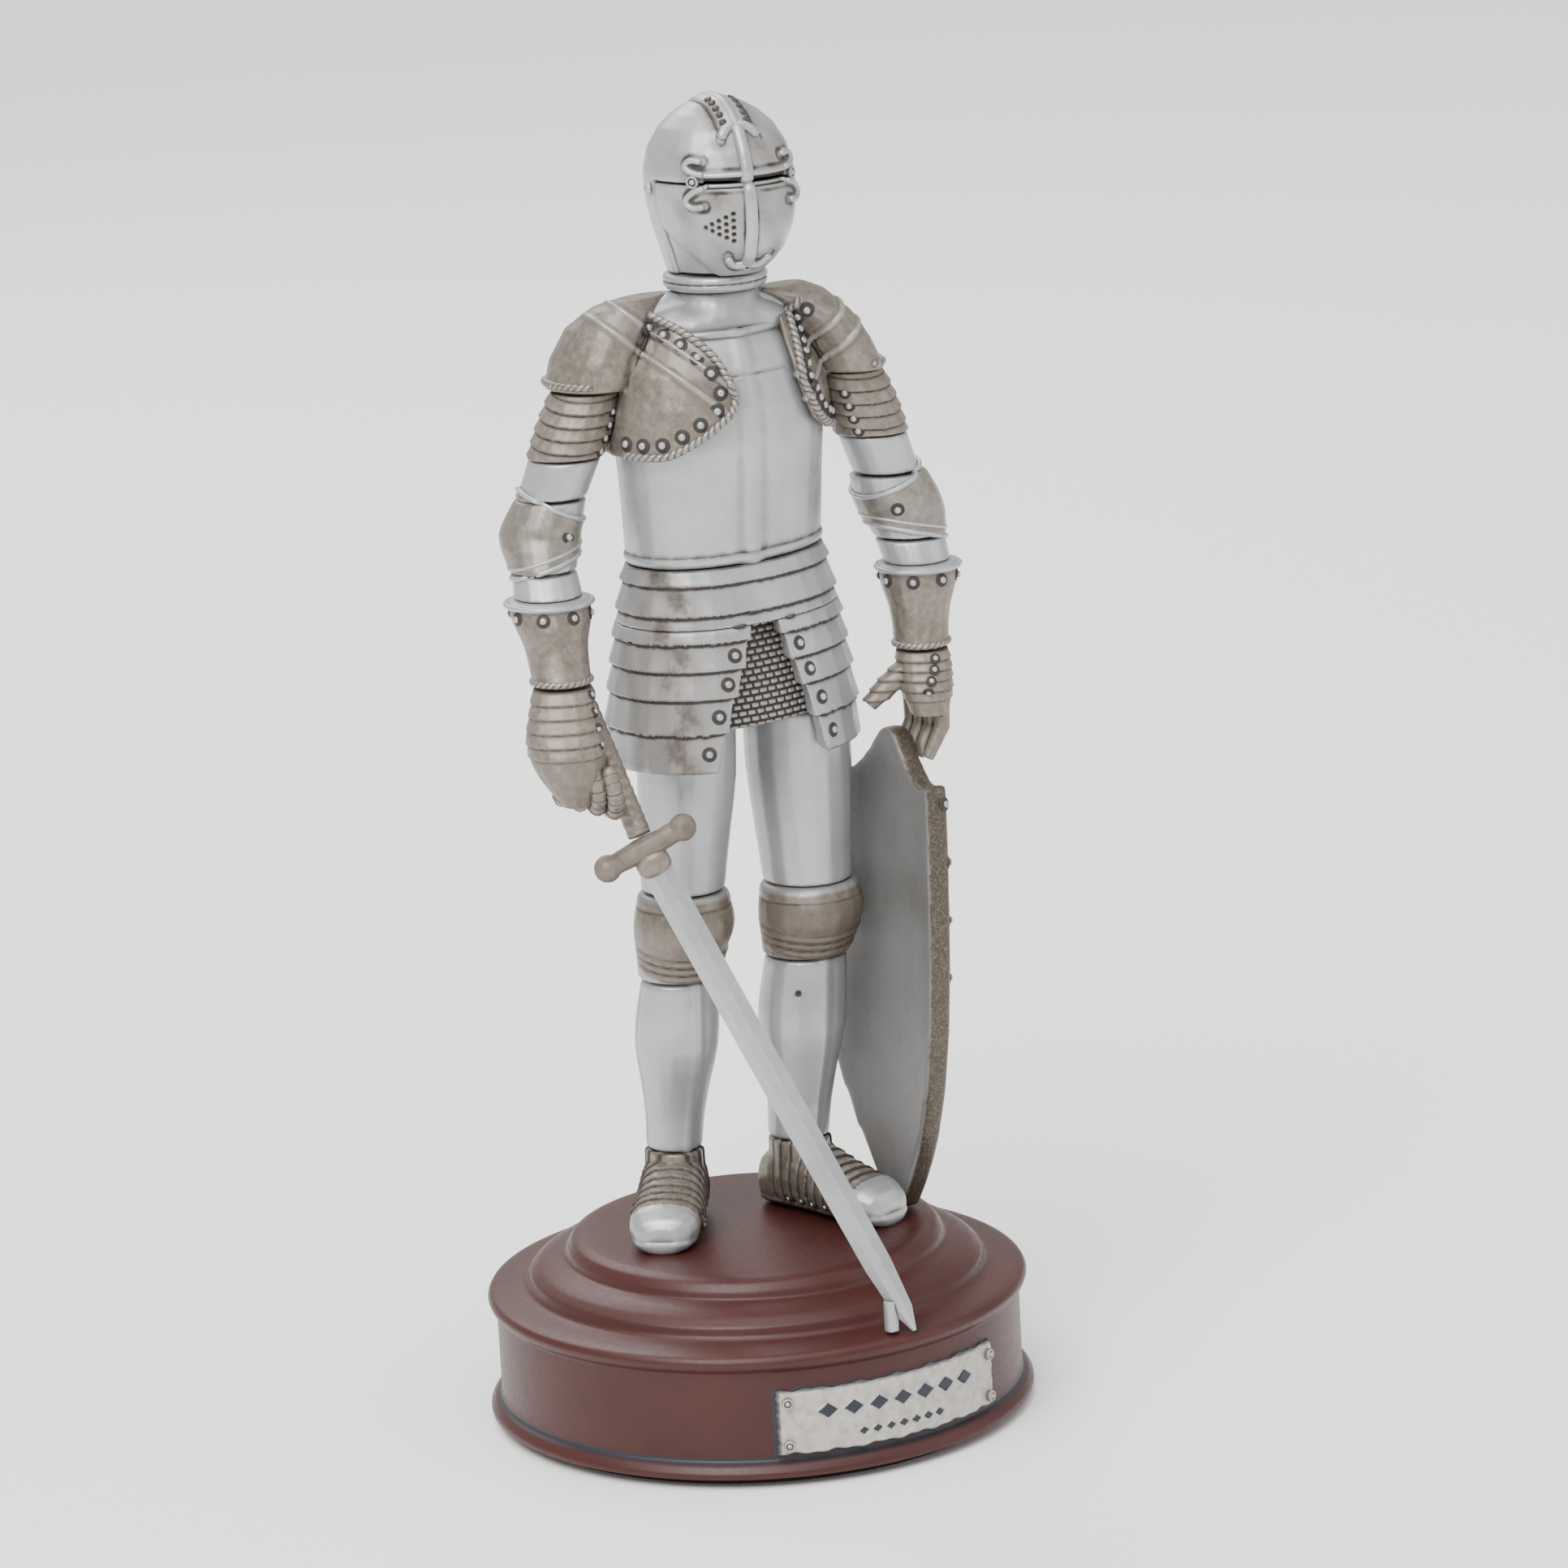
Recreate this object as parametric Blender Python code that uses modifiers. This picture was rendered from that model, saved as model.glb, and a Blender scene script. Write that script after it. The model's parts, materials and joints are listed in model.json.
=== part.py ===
"""Collectible figurine: a standing knight in plate armour, with sword and shield, on a turned base.

The real object is a set of painted resin castings, pinned and glued together.  Each casting or
armour plate is one object here.  The frame has its origin at the centre of the underside, +Z up;
the name plate faces -Y and the figure's left side is +X.  Lengths are written in millimetres.
"""

import math

import bmesh
import bpy
from mathutils import Matrix, Vector

MM = 0.001
GAP = 0.3  # glue line between neighbouring pieces
REACH = 40.0  # of the helper boxes that part one region from another, well beyond the body

# Heights of the joints between pieces, from the underside of the base.
PAD_THICKNESS = 1.0
SOLE = 28.0
ANKLE = 39.6
TASSET_LOW = 102.0
CROTCH = 107.0
TASSET_HIGH = 122.4
WAIST = 131.6
NECK = 165.2
COLLAR_LOW = 171.0
CHIN = 173.4
VISOR_SEAM = 187.3
CROWN = 198.6
RIGHT_WRIST = 117.0
LEFT_WRIST = 114.0
RIGHT_KNEE = (67.2, 80.4)
LEFT_KNEE = (68.6, 79.4)

# The base.
FOOT_RADIUS = 41.3
WALL_RADIUS = 39.6
FLANGE_RADIUS = 40.9
STEP_RADIUS = 34.6
TOP_RADIUS = 28.4
PAD_RADIUS = 38.0

# The figure is turned a little to its right on the base.
BODY = (2.5, 2.5)
BODY_TURN = -11.0
HEAD_TURN = -9.0
TOES_TURN = {"right": -38.0, "left": 17.0}  # of the feet, from -Y towards +X

# The raised strips of the helmet.
STRAP_HEIGHT = 1.1
CROSS_TOP = 193.6
CROSS_FOOT = CHIN + 1.6
CROSS_HALF_SPAN = 8.2
CROSS_ARM_HALF_WIDTH = 1.6
CROSS_BAR_HALF_WIDTH = 0.95
COMB_HEIGHT = 0.9
COMB_HALF_WIDTH = 1.1
COMB_FRONT = -9.6
COMB_BACK = 12.0

PIN_RADIUS = 1.2
PIN_DEPTH = 10.0
PIN_REACH = 20.0

PLATE_HALF_ANGLE = 28.4
PLATE_LOW = 4.4
PLATE_HIGH = 14.9
PLATE_THICKNESS = 0.9

SWORD_TIP = Vector((2.4, -40.9, 20.9))
SWORD_GUARD = Vector((-20.9, -10.2, 92.2))
SWORD_BUTT = Vector((-23.5, 0.6, 112.4))
SWORD_FACE = Vector((-0.51, -0.86, 0.0))  # the way the flat of the blade looks
GUARD_HALF = 6.3
GUARD_FACE = 2.0  # from the guard's middle to the blade on one side and the grip on the other
GRIP_RADIUS = 1.75
KNOB_RADIUS = 2.1
POMMEL_RADIUS = 2.2

SHIELD_POINT = Vector((20.0, -8.2, SOLE + GAP))
SHIELD_HALF_WIDTH = 17.2
SHIELD_HEIGHT = 74.0
SHIELD_THICKNESS = 3.6
SHIELD_BEND_RADIUS = 42.0
SHIELD_LEAN = math.radians(3.4)
SHIELD_TILT = math.radians(2.6)

# name: (colour, roughness, metallic)
MATERIALS = {
    "silver_paint": ((0.56, 0.57, 0.58), 0.42, 0.55),
    "pewter_paint": ((0.29, 0.26, 0.22), 0.48, 0.45),
    "base_paint": ((0.13, 0.035, 0.026), 0.40, 0.0),
    "plate_paint": ((0.60, 0.58, 0.54), 0.50, 0.35),
    "felt": ((0.02, 0.02, 0.022), 0.95, 0.0),
    "pin_steel": ((0.50, 0.50, 0.50), 0.35, 1.0),
}

# Lines down the middle of each limb: (height, x, y), from the top.
RIGHT_LEG = [(CROTCH, -5.2, 3.2), (97, -5.6, 3.2), (76, -6.8, 4.8), (60, -7.7, 6.4), (ANKLE, -7.5, 9.8)]
LEFT_LEG = [(CROTCH, 13.2, 2.0), (97, 13.2, 2.0), (76, 12.9, 0.4), (60, 11.2, 1.2), (ANKLE, 10.4, 2.9)]
RIGHT_ARM = [
    (158.0, -16.9, 6.4),
    (148.5, -20.7, 7.0),
    (137.0, -25.4, 8.0),
    (129.0, -27.6, 2.4),
    (RIGHT_WRIST, -29.2, -3.2),
    (110.0, -30.8, -5.6),
    (100.0, -29.2, -5.6),
]
LEFT_ARM = [
    (157.0, 23.1, -1.5),
    (143.0, 28.2, -1.0),
    (133.0, 32.2, -0.4),
    (126.0, 32.2, -4.0),
    (LEFT_WRIST, 30.3, -7.0),
    (106.0, 30.4, -8.0),
]

# Torso stations: (height, half width, front depth, back depth), from the top.
TORSO = [
    (NECK, 10.6, 8.4, 7.0),
    (163.2, 12.8, 9.8, 8.2),
    (160.0, 15.0, 11.6, 10.0),
    (155.0, 16.4, 12.8, 11.4),
    (149.0, 17.0, 12.9, 11.6),
    (142.0, 16.7, 12.0, 11.0),
    (WAIST, 16.4, 10.9, 10.7),
]
HIPS = [
    (WAIST - GAP, 16.6, 11.2, 11.0),
    (127.0, 17.3, 12.1, 11.9),
    (TASSET_HIGH, 18.2, 13.1, 12.9),
    (114.0, 19.6, 14.3, 14.1),
    (107.0, 20.4, 15.0, 15.0),
    (TASSET_LOW, 20.3, 15.1, 15.1),
]
HELMET = [
    (CROWN, 1.6, 1.8, 1.8),
    (198.2, 3.6, 4.0, 4.0),
    (196.8, 6.0, 6.7, 6.5),
    (194.8, 8.2, 9.0, 8.6),
    (191.8, 9.9, 11.0, 10.5),
    (188.4, 10.6, 12.2, 11.3),
    (184.5, 10.4, 13.0, 11.2),
    (180.5, 9.4, 13.2, 10.2),
    (177.0, 8.1, 12.2, 8.8),
    (CHIN, 7.0, 8.6, 7.2),
]
# Shoulder caps: (height, x, y, half width, half depth), from the top.
RIGHT_CAP = [
    (170.6, -7.8, 4.4, 5.2, 2.2),
    (169.4, -10.6, 4.9, 5.6, 4.6),
    (166.4, -13.2, 5.7, 5.8, 7.0),
    (162.0, -15.6, 6.2, 5.7, 7.6),
    (157.9, -16.8, 6.4, 5.7, 7.4),
]
LEFT_CAP = [
    (170.2, 12.6, 0.2, 4.8, 2.2),
    (169.0, 14.8, 0.0, 5.2, 4.6),
    (165.8, 17.8, -0.6, 5.2, 7.0),
    (161.4, 20.4, -1.2, 4.9, 7.4),
    (156.7, 22.4, -1.5, 5.2, 7.2),
]
# Radii down each limb: thigh, knee, calf, ankle, and arm, elbow, cuff's rim, wrist.
RIGHT_LEG_RADII = (7.3, 7.0, 6.3, 4.2)
LEFT_LEG_RADII = (7.9, 7.4, 6.6, 4.6)
RIGHT_ARM_RADII = (5.7, 5.9, 6.1, 4.4)
LEFT_ARM_RADII = (5.5, 6.4, 6.0, 4.2)
# Heights of the arm's pieces: top and foot of the lames, top and foot of the elbow, cuff, wrist.
RIGHT_ARM_HEIGHTS = (157.6, 148.3, 142.2, 132.4, 128.6, RIGHT_WRIST)
LEFT_ARM_HEIGHTS = (156.4, 146.4, 139.8, 130.0, 126.0, LEFT_WRIST)
# Half outlines of the pauldrons' lobes: (distance from the middle of the breast, height).
RIGHT_LOBE = [
    (7.2, 166.2),
    (4.2, 162.8),
    (2.3, 158.8),
    (1.8, 155.8),
    (4.0, 153.0),
    (9.2, 149.7),
    (13.0, 148.2),
    (16.0, 147.9),
    (20.0, 148.2),
    (20.0, 170.0),
    (9.0, 170.0),
]
LEFT_LOBE = [
    (8.4, 166.4),
    (8.7, 162.6),
    (9.1, 158.8),
    (9.8, 155.6),
    (12.0, 151.2),
    (15.0, 149.0),
    (18.0, 148.4),
    (20.0, 148.6),
    (20.0, 170.0),
    (9.0, 170.0),
]
HEAD_LINE = [(CROWN, 4.3, 1.5), (183, 4.2, 1.5), (CHIN, 3.6, 2.4), (NECK, 3.1, 2.6)]


def clear_scene():
    for thing in list(bpy.data.objects):
        bpy.data.objects.remove(thing, do_unlink=True)


def make_collection(name):
    collection = bpy.data.collections.new(name)
    bpy.context.scene.collection.children.link(collection)
    return collection


def make_materials():
    """One material for each paint, by its name."""
    made = {}
    for name, (colour, roughness, metallic) in MATERIALS.items():
        material = bpy.data.materials.new(name)
        material.use_nodes = True
        shader = material.node_tree.nodes["Principled BSDF"]
        shader.inputs["Base Color"].default_value = (*colour, 1.0)
        shader.inputs["Roughness"].default_value = roughness
        shader.inputs["Metallic"].default_value = metallic
        made[name] = material
    return made


clear_scene()
PIECES = make_collection("knight_figurine")
CUTTERS = make_collection("cutters")
PAINT = make_materials()


# ---------------------------------------------------------------- making objects


def finish_piece(thing, slot):
    """Puts a finished object among the pieces, with its own copy of the slot's material."""
    for collection in list(thing.users_collection):
        collection.objects.unlink(thing)
    PIECES.objects.link(thing)
    material = PAINT[slot].copy()
    material.name = f"{thing.name}_{slot}"
    thing.data.materials.clear()
    thing.data.materials.append(material)
    if thing.type == "MESH":
        thing.data.shade_smooth()
        thing.data.set_sharp_from_angle(angle=math.radians(40))
    return thing


def finish_cutter(thing):
    """Puts a helper object among the cutters, which are not part of the figurine."""
    for collection in list(thing.users_collection):
        collection.objects.unlink(thing)
    CUTTERS.objects.link(thing)
    thing.hide_render = True
    thing.display_type = "WIRE"
    return thing


def object_from_bmesh(name, mesh_builder):
    mesh = bpy.data.meshes.new(name)
    mesh_builder.to_mesh(mesh)
    mesh_builder.free()
    thing = bpy.data.objects.new(name, mesh)
    bpy.context.scene.collection.objects.link(thing)
    return thing


def boolean(thing, other, operation):
    modifier = thing.modifiers.new(f"{operation.lower()}_{other.name}", "BOOLEAN")
    modifier.object = other
    modifier.operation = operation
    modifier.solver = "EXACT"
    return thing


def cut(thing, *cutters):
    for cutter in cutters:
        boolean(thing, cutter, "DIFFERENCE")
    return thing


def join(thing, *others):
    for other in others:
        boolean(thing, other, "UNION")
    return thing


def keep_inside(thing, other):
    return boolean(thing, other, "INTERSECT")


def loft(name, rings):
    """A closed skin over rings of points, all with the same number of points."""
    builder = bmesh.new()
    rows = [[builder.verts.new(point * MM) for point in ring] for ring in rings]
    for upper, lower in zip(rows, rows[1:]):
        for i in range(len(upper)):
            j = (i + 1) % len(upper)
            builder.faces.new((upper[i], upper[j], lower[j], lower[i]))
    builder.faces.new(rows[0])
    builder.faces.new(rows[-1])
    bmesh.ops.recalc_face_normals(builder, faces=builder.faces)
    return object_from_bmesh(name, builder)


def turned(name, profile, segments):
    """A solid turned about the upright axis, from a profile of (radius, height)."""
    builder = bmesh.new()
    verts = [builder.verts.new((radius * MM, 0, height * MM)) for radius, height in profile]
    for upper, lower in zip(verts, verts[1:]):
        builder.edges.new((upper, lower))
    thing = object_from_bmesh(name, builder)
    screw = thing.modifiers.new("turn", "SCREW")
    screw.steps = segments
    screw.render_steps = segments
    screw.use_merge_vertices = True
    screw.merge_threshold = 0.00001
    return thing


def cylinder(name, start, end, radius, segments=20):
    """A round bar from one point to another."""
    start = Vector(start)
    span = Vector(end) - start
    builder = bmesh.new()
    bmesh.ops.create_cone(
        builder,
        cap_ends=True,
        segments=segments,
        radius1=radius * MM,
        radius2=radius * MM,
        depth=span.length * MM,
    )
    turn = span.to_track_quat("Z", "Y").to_matrix().to_4x4()
    builder.transform(Matrix.Translation((start + span / 2) * MM) @ turn)
    return object_from_bmesh(name, builder)


def block(name, low, high):
    """A box between two corners."""
    low = Vector(low)
    high = Vector(high)
    builder = bmesh.new()
    bmesh.ops.create_cube(builder, size=1.0)
    size = Matrix.Diagonal(((high - low) * MM).to_4d())
    size[3][3] = 1.0
    builder.transform(Matrix.Translation((low + high) / 2 * MM) @ size)
    return object_from_bmesh(name, builder)


def ball(name, centre, radii, segments=16):
    """An ellipsoid about a centre."""
    builder = bmesh.new()
    bmesh.ops.create_uvsphere(builder, u_segments=segments, v_segments=segments // 2, radius=MM)
    scale = Matrix.Diagonal((*radii, 1.0))
    builder.transform(Matrix.Translation(Vector(centre) * MM) @ scale)
    return object_from_bmesh(name, builder)


def prism(name, outline, half_depth):
    """An upright plate in the XZ plane: the outline's points are (x, z), closed by straight lines."""
    curve = bpy.data.curves.new(name, "CURVE")
    curve.dimensions = "2D"
    curve.fill_mode = "BOTH"
    curve.extrude = half_depth * MM
    spline = curve.splines.new("POLY")
    spline.points.add(len(outline) - 1)
    for point, (x, z) in zip(spline.points, outline):
        point.co = (x * MM, z * MM, 0, 1)
    spline.use_cyclic_u = True
    thing = bpy.data.objects.new(name, curve)
    bpy.context.scene.collection.objects.link(thing)
    thing.rotation_euler = (math.pi / 2, 0, 0)
    return mesh_of_curve(thing)


def tube(name, points, radii, segments=3):
    """A round bar along points, with its own radius at each."""
    curve = bpy.data.curves.new(name, "CURVE")
    curve.dimensions = "3D"
    curve.bevel_depth = MM
    curve.bevel_resolution = segments
    curve.use_fill_caps = True
    spline = curve.splines.new("POLY")
    spline.points.add(len(points) - 1)
    for point, place, radius in zip(spline.points, points, radii):
        point.co = (*(Vector(place) * MM), 1)
        point.radius = radius
    thing = bpy.data.objects.new(name, curve)
    bpy.context.scene.collection.objects.link(thing)
    return mesh_of_curve(thing)


def mesh_of_curve(thing):
    """A mesh object with the curve's shape, in the curve's place, with its caps welded on."""
    name = thing.name
    thing.name = f"{name}_curve"
    bpy.context.view_layer.update()
    graph = bpy.context.evaluated_depsgraph_get()
    mesh = bpy.data.meshes.new_from_object(thing.evaluated_get(graph))
    mesh.name = name
    builder = bmesh.new()
    builder.from_mesh(mesh)
    bmesh.ops.remove_doubles(builder, verts=builder.verts, dist=0.000001)
    bmesh.ops.recalc_face_normals(builder, faces=builder.faces)
    builder.to_mesh(mesh)
    builder.free()
    made = bpy.data.objects.new(name, mesh)
    made.matrix_world = thing.matrix_world
    bpy.context.scene.collection.objects.link(made)
    bpy.data.objects.remove(thing, do_unlink=True)
    return made


# ---------------------------------------------------------------- shapes of limbs and torso


def on_line(line, height):
    """The middle of a limb at a height, straight between the line's points."""
    for (z0, x0, y0), (z1, x1, y1) in zip(line, line[1:]):
        if height >= z1 or (z1, x1, y1) == line[-1]:
            share = (z0 - height) / (z0 - z1)
            return x0 + (x1 - x0) * share, y0 + (y1 - y0) * share
    return line[-1][1:]


def spline_value(values, share):
    """A smooth curve through evenly spaced tuples, at a share of its length from 0 to 1."""
    last = len(values) - 1
    place = min(max(share, 0.0), 1.0) * last
    i = min(int(place), last - 1)
    t = place - i
    before, start, end, after = (values[min(max(k, 0), last)] for k in (i - 1, i, i + 1, i + 2))
    result = []
    for a, b, c, d in zip(before, start, end, after):
        rise = (c - a) / 2
        fall = (d - b) / 2
        result.append(
            (2 * t**3 - 3 * t**2 + 1) * b
            + (t**3 - 2 * t**2 + t) * rise
            + (-2 * t**3 + 3 * t**2) * c
            + (t**3 - t**2) * fall
        )
    return result


def level_ring(centre, half_width, front, back, turn=0.0, segments=20, power=2.0):
    """A flat oval ring; front and back are its depths towards -Y and +Y before it is turned."""
    x0, y0, z0 = centre
    cosine = math.cos(math.radians(turn))
    sine = math.sin(math.radians(turn))
    ring = []
    for i in range(segments):
        angle = 2 * math.pi * i / segments
        across = math.copysign(abs(math.sin(angle)) ** (2 / power), math.sin(angle)) * half_width
        depth = math.copysign(abs(math.cos(angle)) ** (2 / power), math.cos(angle))
        depth *= front if depth > 0 else back
        ring.append(Vector((x0 + across * cosine - depth * sine, y0 - across * sine - depth * cosine, z0)))
    return ring


def limb(name, line, top, bottom, radii, grow=0.0, steps=None, turn=0.0, power=2.0, segments=18):
    """A length of arm or leg between two heights.  radii are (half width, half depth), evenly spaced."""
    steps = steps or 2 * (len(radii) - 1)
    rings = []
    for i in range(steps + 1):
        share = i / steps
        height = top + (bottom - top) * share
        half_width, half_depth = spline_value(radii, share)
        x, y = on_line(line, height)
        if i == 0:
            height += grow
        if i == steps:
            height -= grow
        depth = half_depth + grow
        rings.append(level_ring((x, y, height), half_width + grow, depth, depth, turn, segments, power))
    return loft(name, rings)


def at_height(stations, height):
    """A station's half width, front and back at a height, straight between the stations."""
    for upper, lower in zip(stations, stations[1:]):
        if height >= lower[0] or lower is stations[-1]:
            share = (upper[0] - height) / (upper[0] - lower[0])
            return [a + (b - a) * share for a, b in zip(upper[1:], lower[1:])]
    return list(stations[-1][1:])


def body_shape(name, stations, line, turn, top=None, bottom=None, grow=0.0, segments=28, power=2.2):
    """A loft through the torso's, hips' or helmet's stations, between two heights."""
    top = stations[0][0] if top is None else top
    bottom = stations[-1][0] if bottom is None else bottom
    heights = [top] + [s[0] for s in stations if bottom < s[0] < top] + [bottom]
    rings = []
    for height in heights:
        half_width, front, back = at_height(stations, height)
        x, y = on_line(line, height)
        lift = max(grow, 0.0) * ((height == top) - (height == bottom))
        ring = level_ring(
            (x, y, height + lift), half_width + grow, front + grow, back + grow, turn, segments, power
        )
        rings.append(ring)
    return loft(name, rings)


BODY_LINE = [(NECK, *BODY), (TASSET_LOW, *BODY)]


def torso_shape(name, grow):
    """The trunk's surface, or one a little outside it."""
    return body_shape(name, TORSO, BODY_LINE, BODY_TURN, grow=grow)


def hip_shape(name, top, bottom, grow=0.0, segments=28):
    return body_shape(name, HIPS, BODY_LINE, BODY_TURN, top, bottom, grow, segments)


def helmet_shape(name, grow=0.0, segments=28):
    return body_shape(name, HELMET, HEAD_LINE, HEAD_TURN, grow=grow, segments=segments, power=2.0)


def turned_about_body(thing, turn=BODY_TURN, centre=BODY):
    """Turns a helper made around the upright axis at the origin, and stands it on the body's axis."""
    place = Matrix.Translation((centre[0] * MM, centre[1] * MM, 0))
    thing.matrix_world = place @ Matrix.Rotation(math.radians(turn), 4, "Z") @ thing.matrix_world
    return thing


# ---------------------------------------------------------------- the base


def base_profile():
    """The turned outline of the base, with a recess for the felt underneath."""
    recess = PAD_THICKNESS
    return [
        (0, SOLE),
        (TOP_RADIUS - 2.4, SOLE),
        (TOP_RADIUS - 0.9, SOLE - 0.5),
        (TOP_RADIUS, SOLE - 1.7),
        (TOP_RADIUS + 0.4, SOLE - 2.9),
        (TOP_RADIUS + 2.6, SOLE - 3.4),
        (STEP_RADIUS - 1.8, SOLE - 4.2),
        (STEP_RADIUS - 0.4, SOLE - 5.3),
        (STEP_RADIUS, SOLE - 6.6),
        (STEP_RADIUS + 0.8, SOLE - 7.3),
        (FLANGE_RADIUS - 2.0, SOLE - 7.5),
        (FLANGE_RADIUS - 0.5, SOLE - 7.9),
        (FLANGE_RADIUS, SOLE - 8.8),
        (FLANGE_RADIUS - 0.3, SOLE - 9.7),
        (WALL_RADIUS, SOLE - 10.6),
        (WALL_RADIUS, 3.9),
        (FOOT_RADIUS - 0.8, 3.5),
        (FOOT_RADIUS, 2.4),
        (FOOT_RADIUS, 1.2),
        (FOOT_RADIUS - 0.5, 0.3),
        (PAD_RADIUS + GAP, 0.3),
        (PAD_RADIUS + GAP, recess + GAP),
        (0, recess + GAP),
    ]


def pin_ends(line):
    """The two ends of the steel pin in a foot: in the base and in the greave."""
    x, y = on_line(line, ANKLE)
    return (x, y, SOLE - PIN_DEPTH), (x, y, SOLE + PIN_REACH)


def make_base():
    plinth = turned("base_plinth", base_profile(), segments=52)
    for side, line in (("right", RIGHT_LEG), ("left", LEFT_LEG)):
        cut(plinth, pin_hole(f"{side}_plinth_hole", line))
    finish_piece(plinth, "base_paint")
    pad = [(0, PAD_THICKNESS), (PAD_RADIUS, PAD_THICKNESS), (PAD_RADIUS, 0), (0, 0)]
    finish_piece(turned("felt_pad", pad, segments=48), "felt")


def pin_hole(name, line):
    """A cutter for the hole of a foot's pin, a little longer and wider than the pin."""
    low, high = (Vector(end) for end in pin_ends(line))
    slack = Vector((0, 0, GAP))
    return finish_cutter(cylinder(name, low - slack, high + slack, PIN_RADIUS + GAP, 16))


def wall_ring(name, inner, outer, low, high):
    """A turned band around the base's wall."""
    profile = [(inner, high), (outer, high), (outer, low), (inner, low), (inner, high)]
    return turned(name, profile, segments=120)


def make_name_plate():
    """A blank plate bent round the front of the base, with a rivet at each corner."""
    inner = WALL_RADIUS + GAP
    outer = inner + PLATE_THICKNESS
    plate = wall_ring("name_plate", inner, outer, PLATE_LOW, PLATE_HIGH)
    reach = outer * 2
    edge = reach * math.tan(math.radians(PLATE_HALF_ANGLE))
    rings = [
        [Vector((0, 0, z)), Vector((-edge, -reach, z)), Vector((edge, -reach, z))]
        for z in (PLATE_HIGH + 2, PLATE_LOW - 2)
    ]
    keep_inside(plate, finish_cutter(loft("plate_wedge", rings)))
    finish_piece(plate, "plate_paint")
    corners = [(side, height) for side in (-1, 1) for height in (PLATE_LOW + 2.0, PLATE_HIGH - 2.0)]
    for number, (side, height) in enumerate(corners, 1):
        angle = math.radians(side * (PLATE_HALF_ANGLE - 3.0))
        out = Vector((math.sin(angle), -math.cos(angle), 0))
        start = out * (outer + GAP) + Vector((0, 0, height))
        rivet = cylinder(f"plate_rivet_{number}", start, start + out * 0.5, 0.8, 12)
        finish_piece(rivet, "plate_paint")


# ---------------------------------------------------------------- legs


def foot_shape(name, line, heading, grow=0.0):
    """A sabaton: rounded rings from heel to toe, along a heading in degrees from -Y towards +X."""
    ankle = Vector((*on_line(line, ANKLE), 0))
    forward = Vector((math.sin(math.radians(heading)), -math.cos(math.radians(heading)), 0))
    side = Vector((0, 0, 1)).cross(forward)
    stations = [  # distance ahead of the ankle, half width, height
        (-6.2, 2.4, 5.0),
        (-5.4, 3.9, 8.0),
        (-2.5, 4.8, 10.0),
        (1.6, 4.9, 10.6),
        (5.0, 5.0, 9.4),
        (8.4, 5.3, 7.8),
        (12.0, 5.4, 6.7),
        (15.4, 5.0, 5.9),
        (17.4, 4.0, 4.8),
        (18.2, 2.4, 3.4),
    ]
    rings = []
    for ahead, half_width, height in stations:
        middle = ankle + forward * ahead + Vector((0, 0, SOLE + GAP + height / 2))
        ring = []
        for i in range(16):
            angle = 2 * math.pi * i / 16
            across = math.copysign(abs(math.sin(angle)) ** 0.8, math.sin(angle)) * (half_width + grow)
            up = math.copysign(abs(math.cos(angle)) ** 0.8, math.cos(angle)) * (height / 2 + grow)
            ring.append(middle + side * across + Vector((0, 0, up)))
        rings.append(ring)
    return loft(name, rings)


def make_leg(side, line, knee_cop, radii):
    """A leg from sole to hip; the knee cop is given by its two heights.  Gives the thigh's room."""
    knee_low, knee_high = knee_cop
    thigh, knee, calf, ankle = radii
    hole = pin_hole(f"{side}_pin_hole", line)
    sabaton = foot_shape(f"{side}_sabaton", line, TOES_TURN[side])
    stub_radii = [(ankle, ankle + 0.4), (ankle + 0.1, ankle + 0.4), (ankle + 0.2, ankle + 0.4)]
    stub_line = [(z, *on_line(line, ANKLE)) for z in (ANKLE, SOLE)]
    stub = limb(f"{side}_ankle_stub", stub_line, ANKLE - GAP, SOLE + 5, stub_radii, segments=16)
    join(sabaton, finish_cutter(stub))
    cut(sabaton, hole)
    finish_piece(sabaton, "pewter_paint")

    pin = cylinder(f"{side}_foot_pin", *pin_ends(line), PIN_RADIUS, 12)
    finish_piece(pin, "pin_steel")

    greave_radii = [
        (knee - 1.2, knee - 1.2),
        (calf, calf + 0.2),
        (calf - 0.1, calf + 0.5),
        (calf - 1.1, calf - 0.4),
        (ankle + 0.3, ankle + 0.6),
        (ankle, ankle + 0.4),
    ]
    greave = limb(f"{side}_greave", line, knee_low - GAP, ANKLE, greave_radii)
    cut(greave, hole)
    finish_piece(greave, "silver_paint")

    knee_radii = [
        (knee - 0.5, knee - 0.3),
        (knee + 0.1, knee + 0.5),
        (knee, knee + 0.6),
        (knee - 0.5, knee),
        (knee - 0.8, knee - 0.6),
    ]
    cop = limb(f"{side}_knee_cop", line, knee_high, knee_low, knee_radii)
    finish_piece(cop, "pewter_paint")

    thigh_radii = [
        (thigh, thigh + 0.8),
        (thigh, thigh + 0.6),
        (thigh - 0.6, thigh),
        (knee - 0.7, knee - 0.4),
    ]
    cuisse = limb(f"{side}_thigh", line, CROTCH - GAP, knee_high + GAP, thigh_radii)
    finish_piece(cuisse, "silver_paint")
    grown = limb(f"{side}_thigh_room", line, CROTCH + 2, knee_high + GAP, thigh_radii, grow=GAP)
    return finish_cutter(grown)


# ---------------------------------------------------------------- hips and trunk


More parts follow.
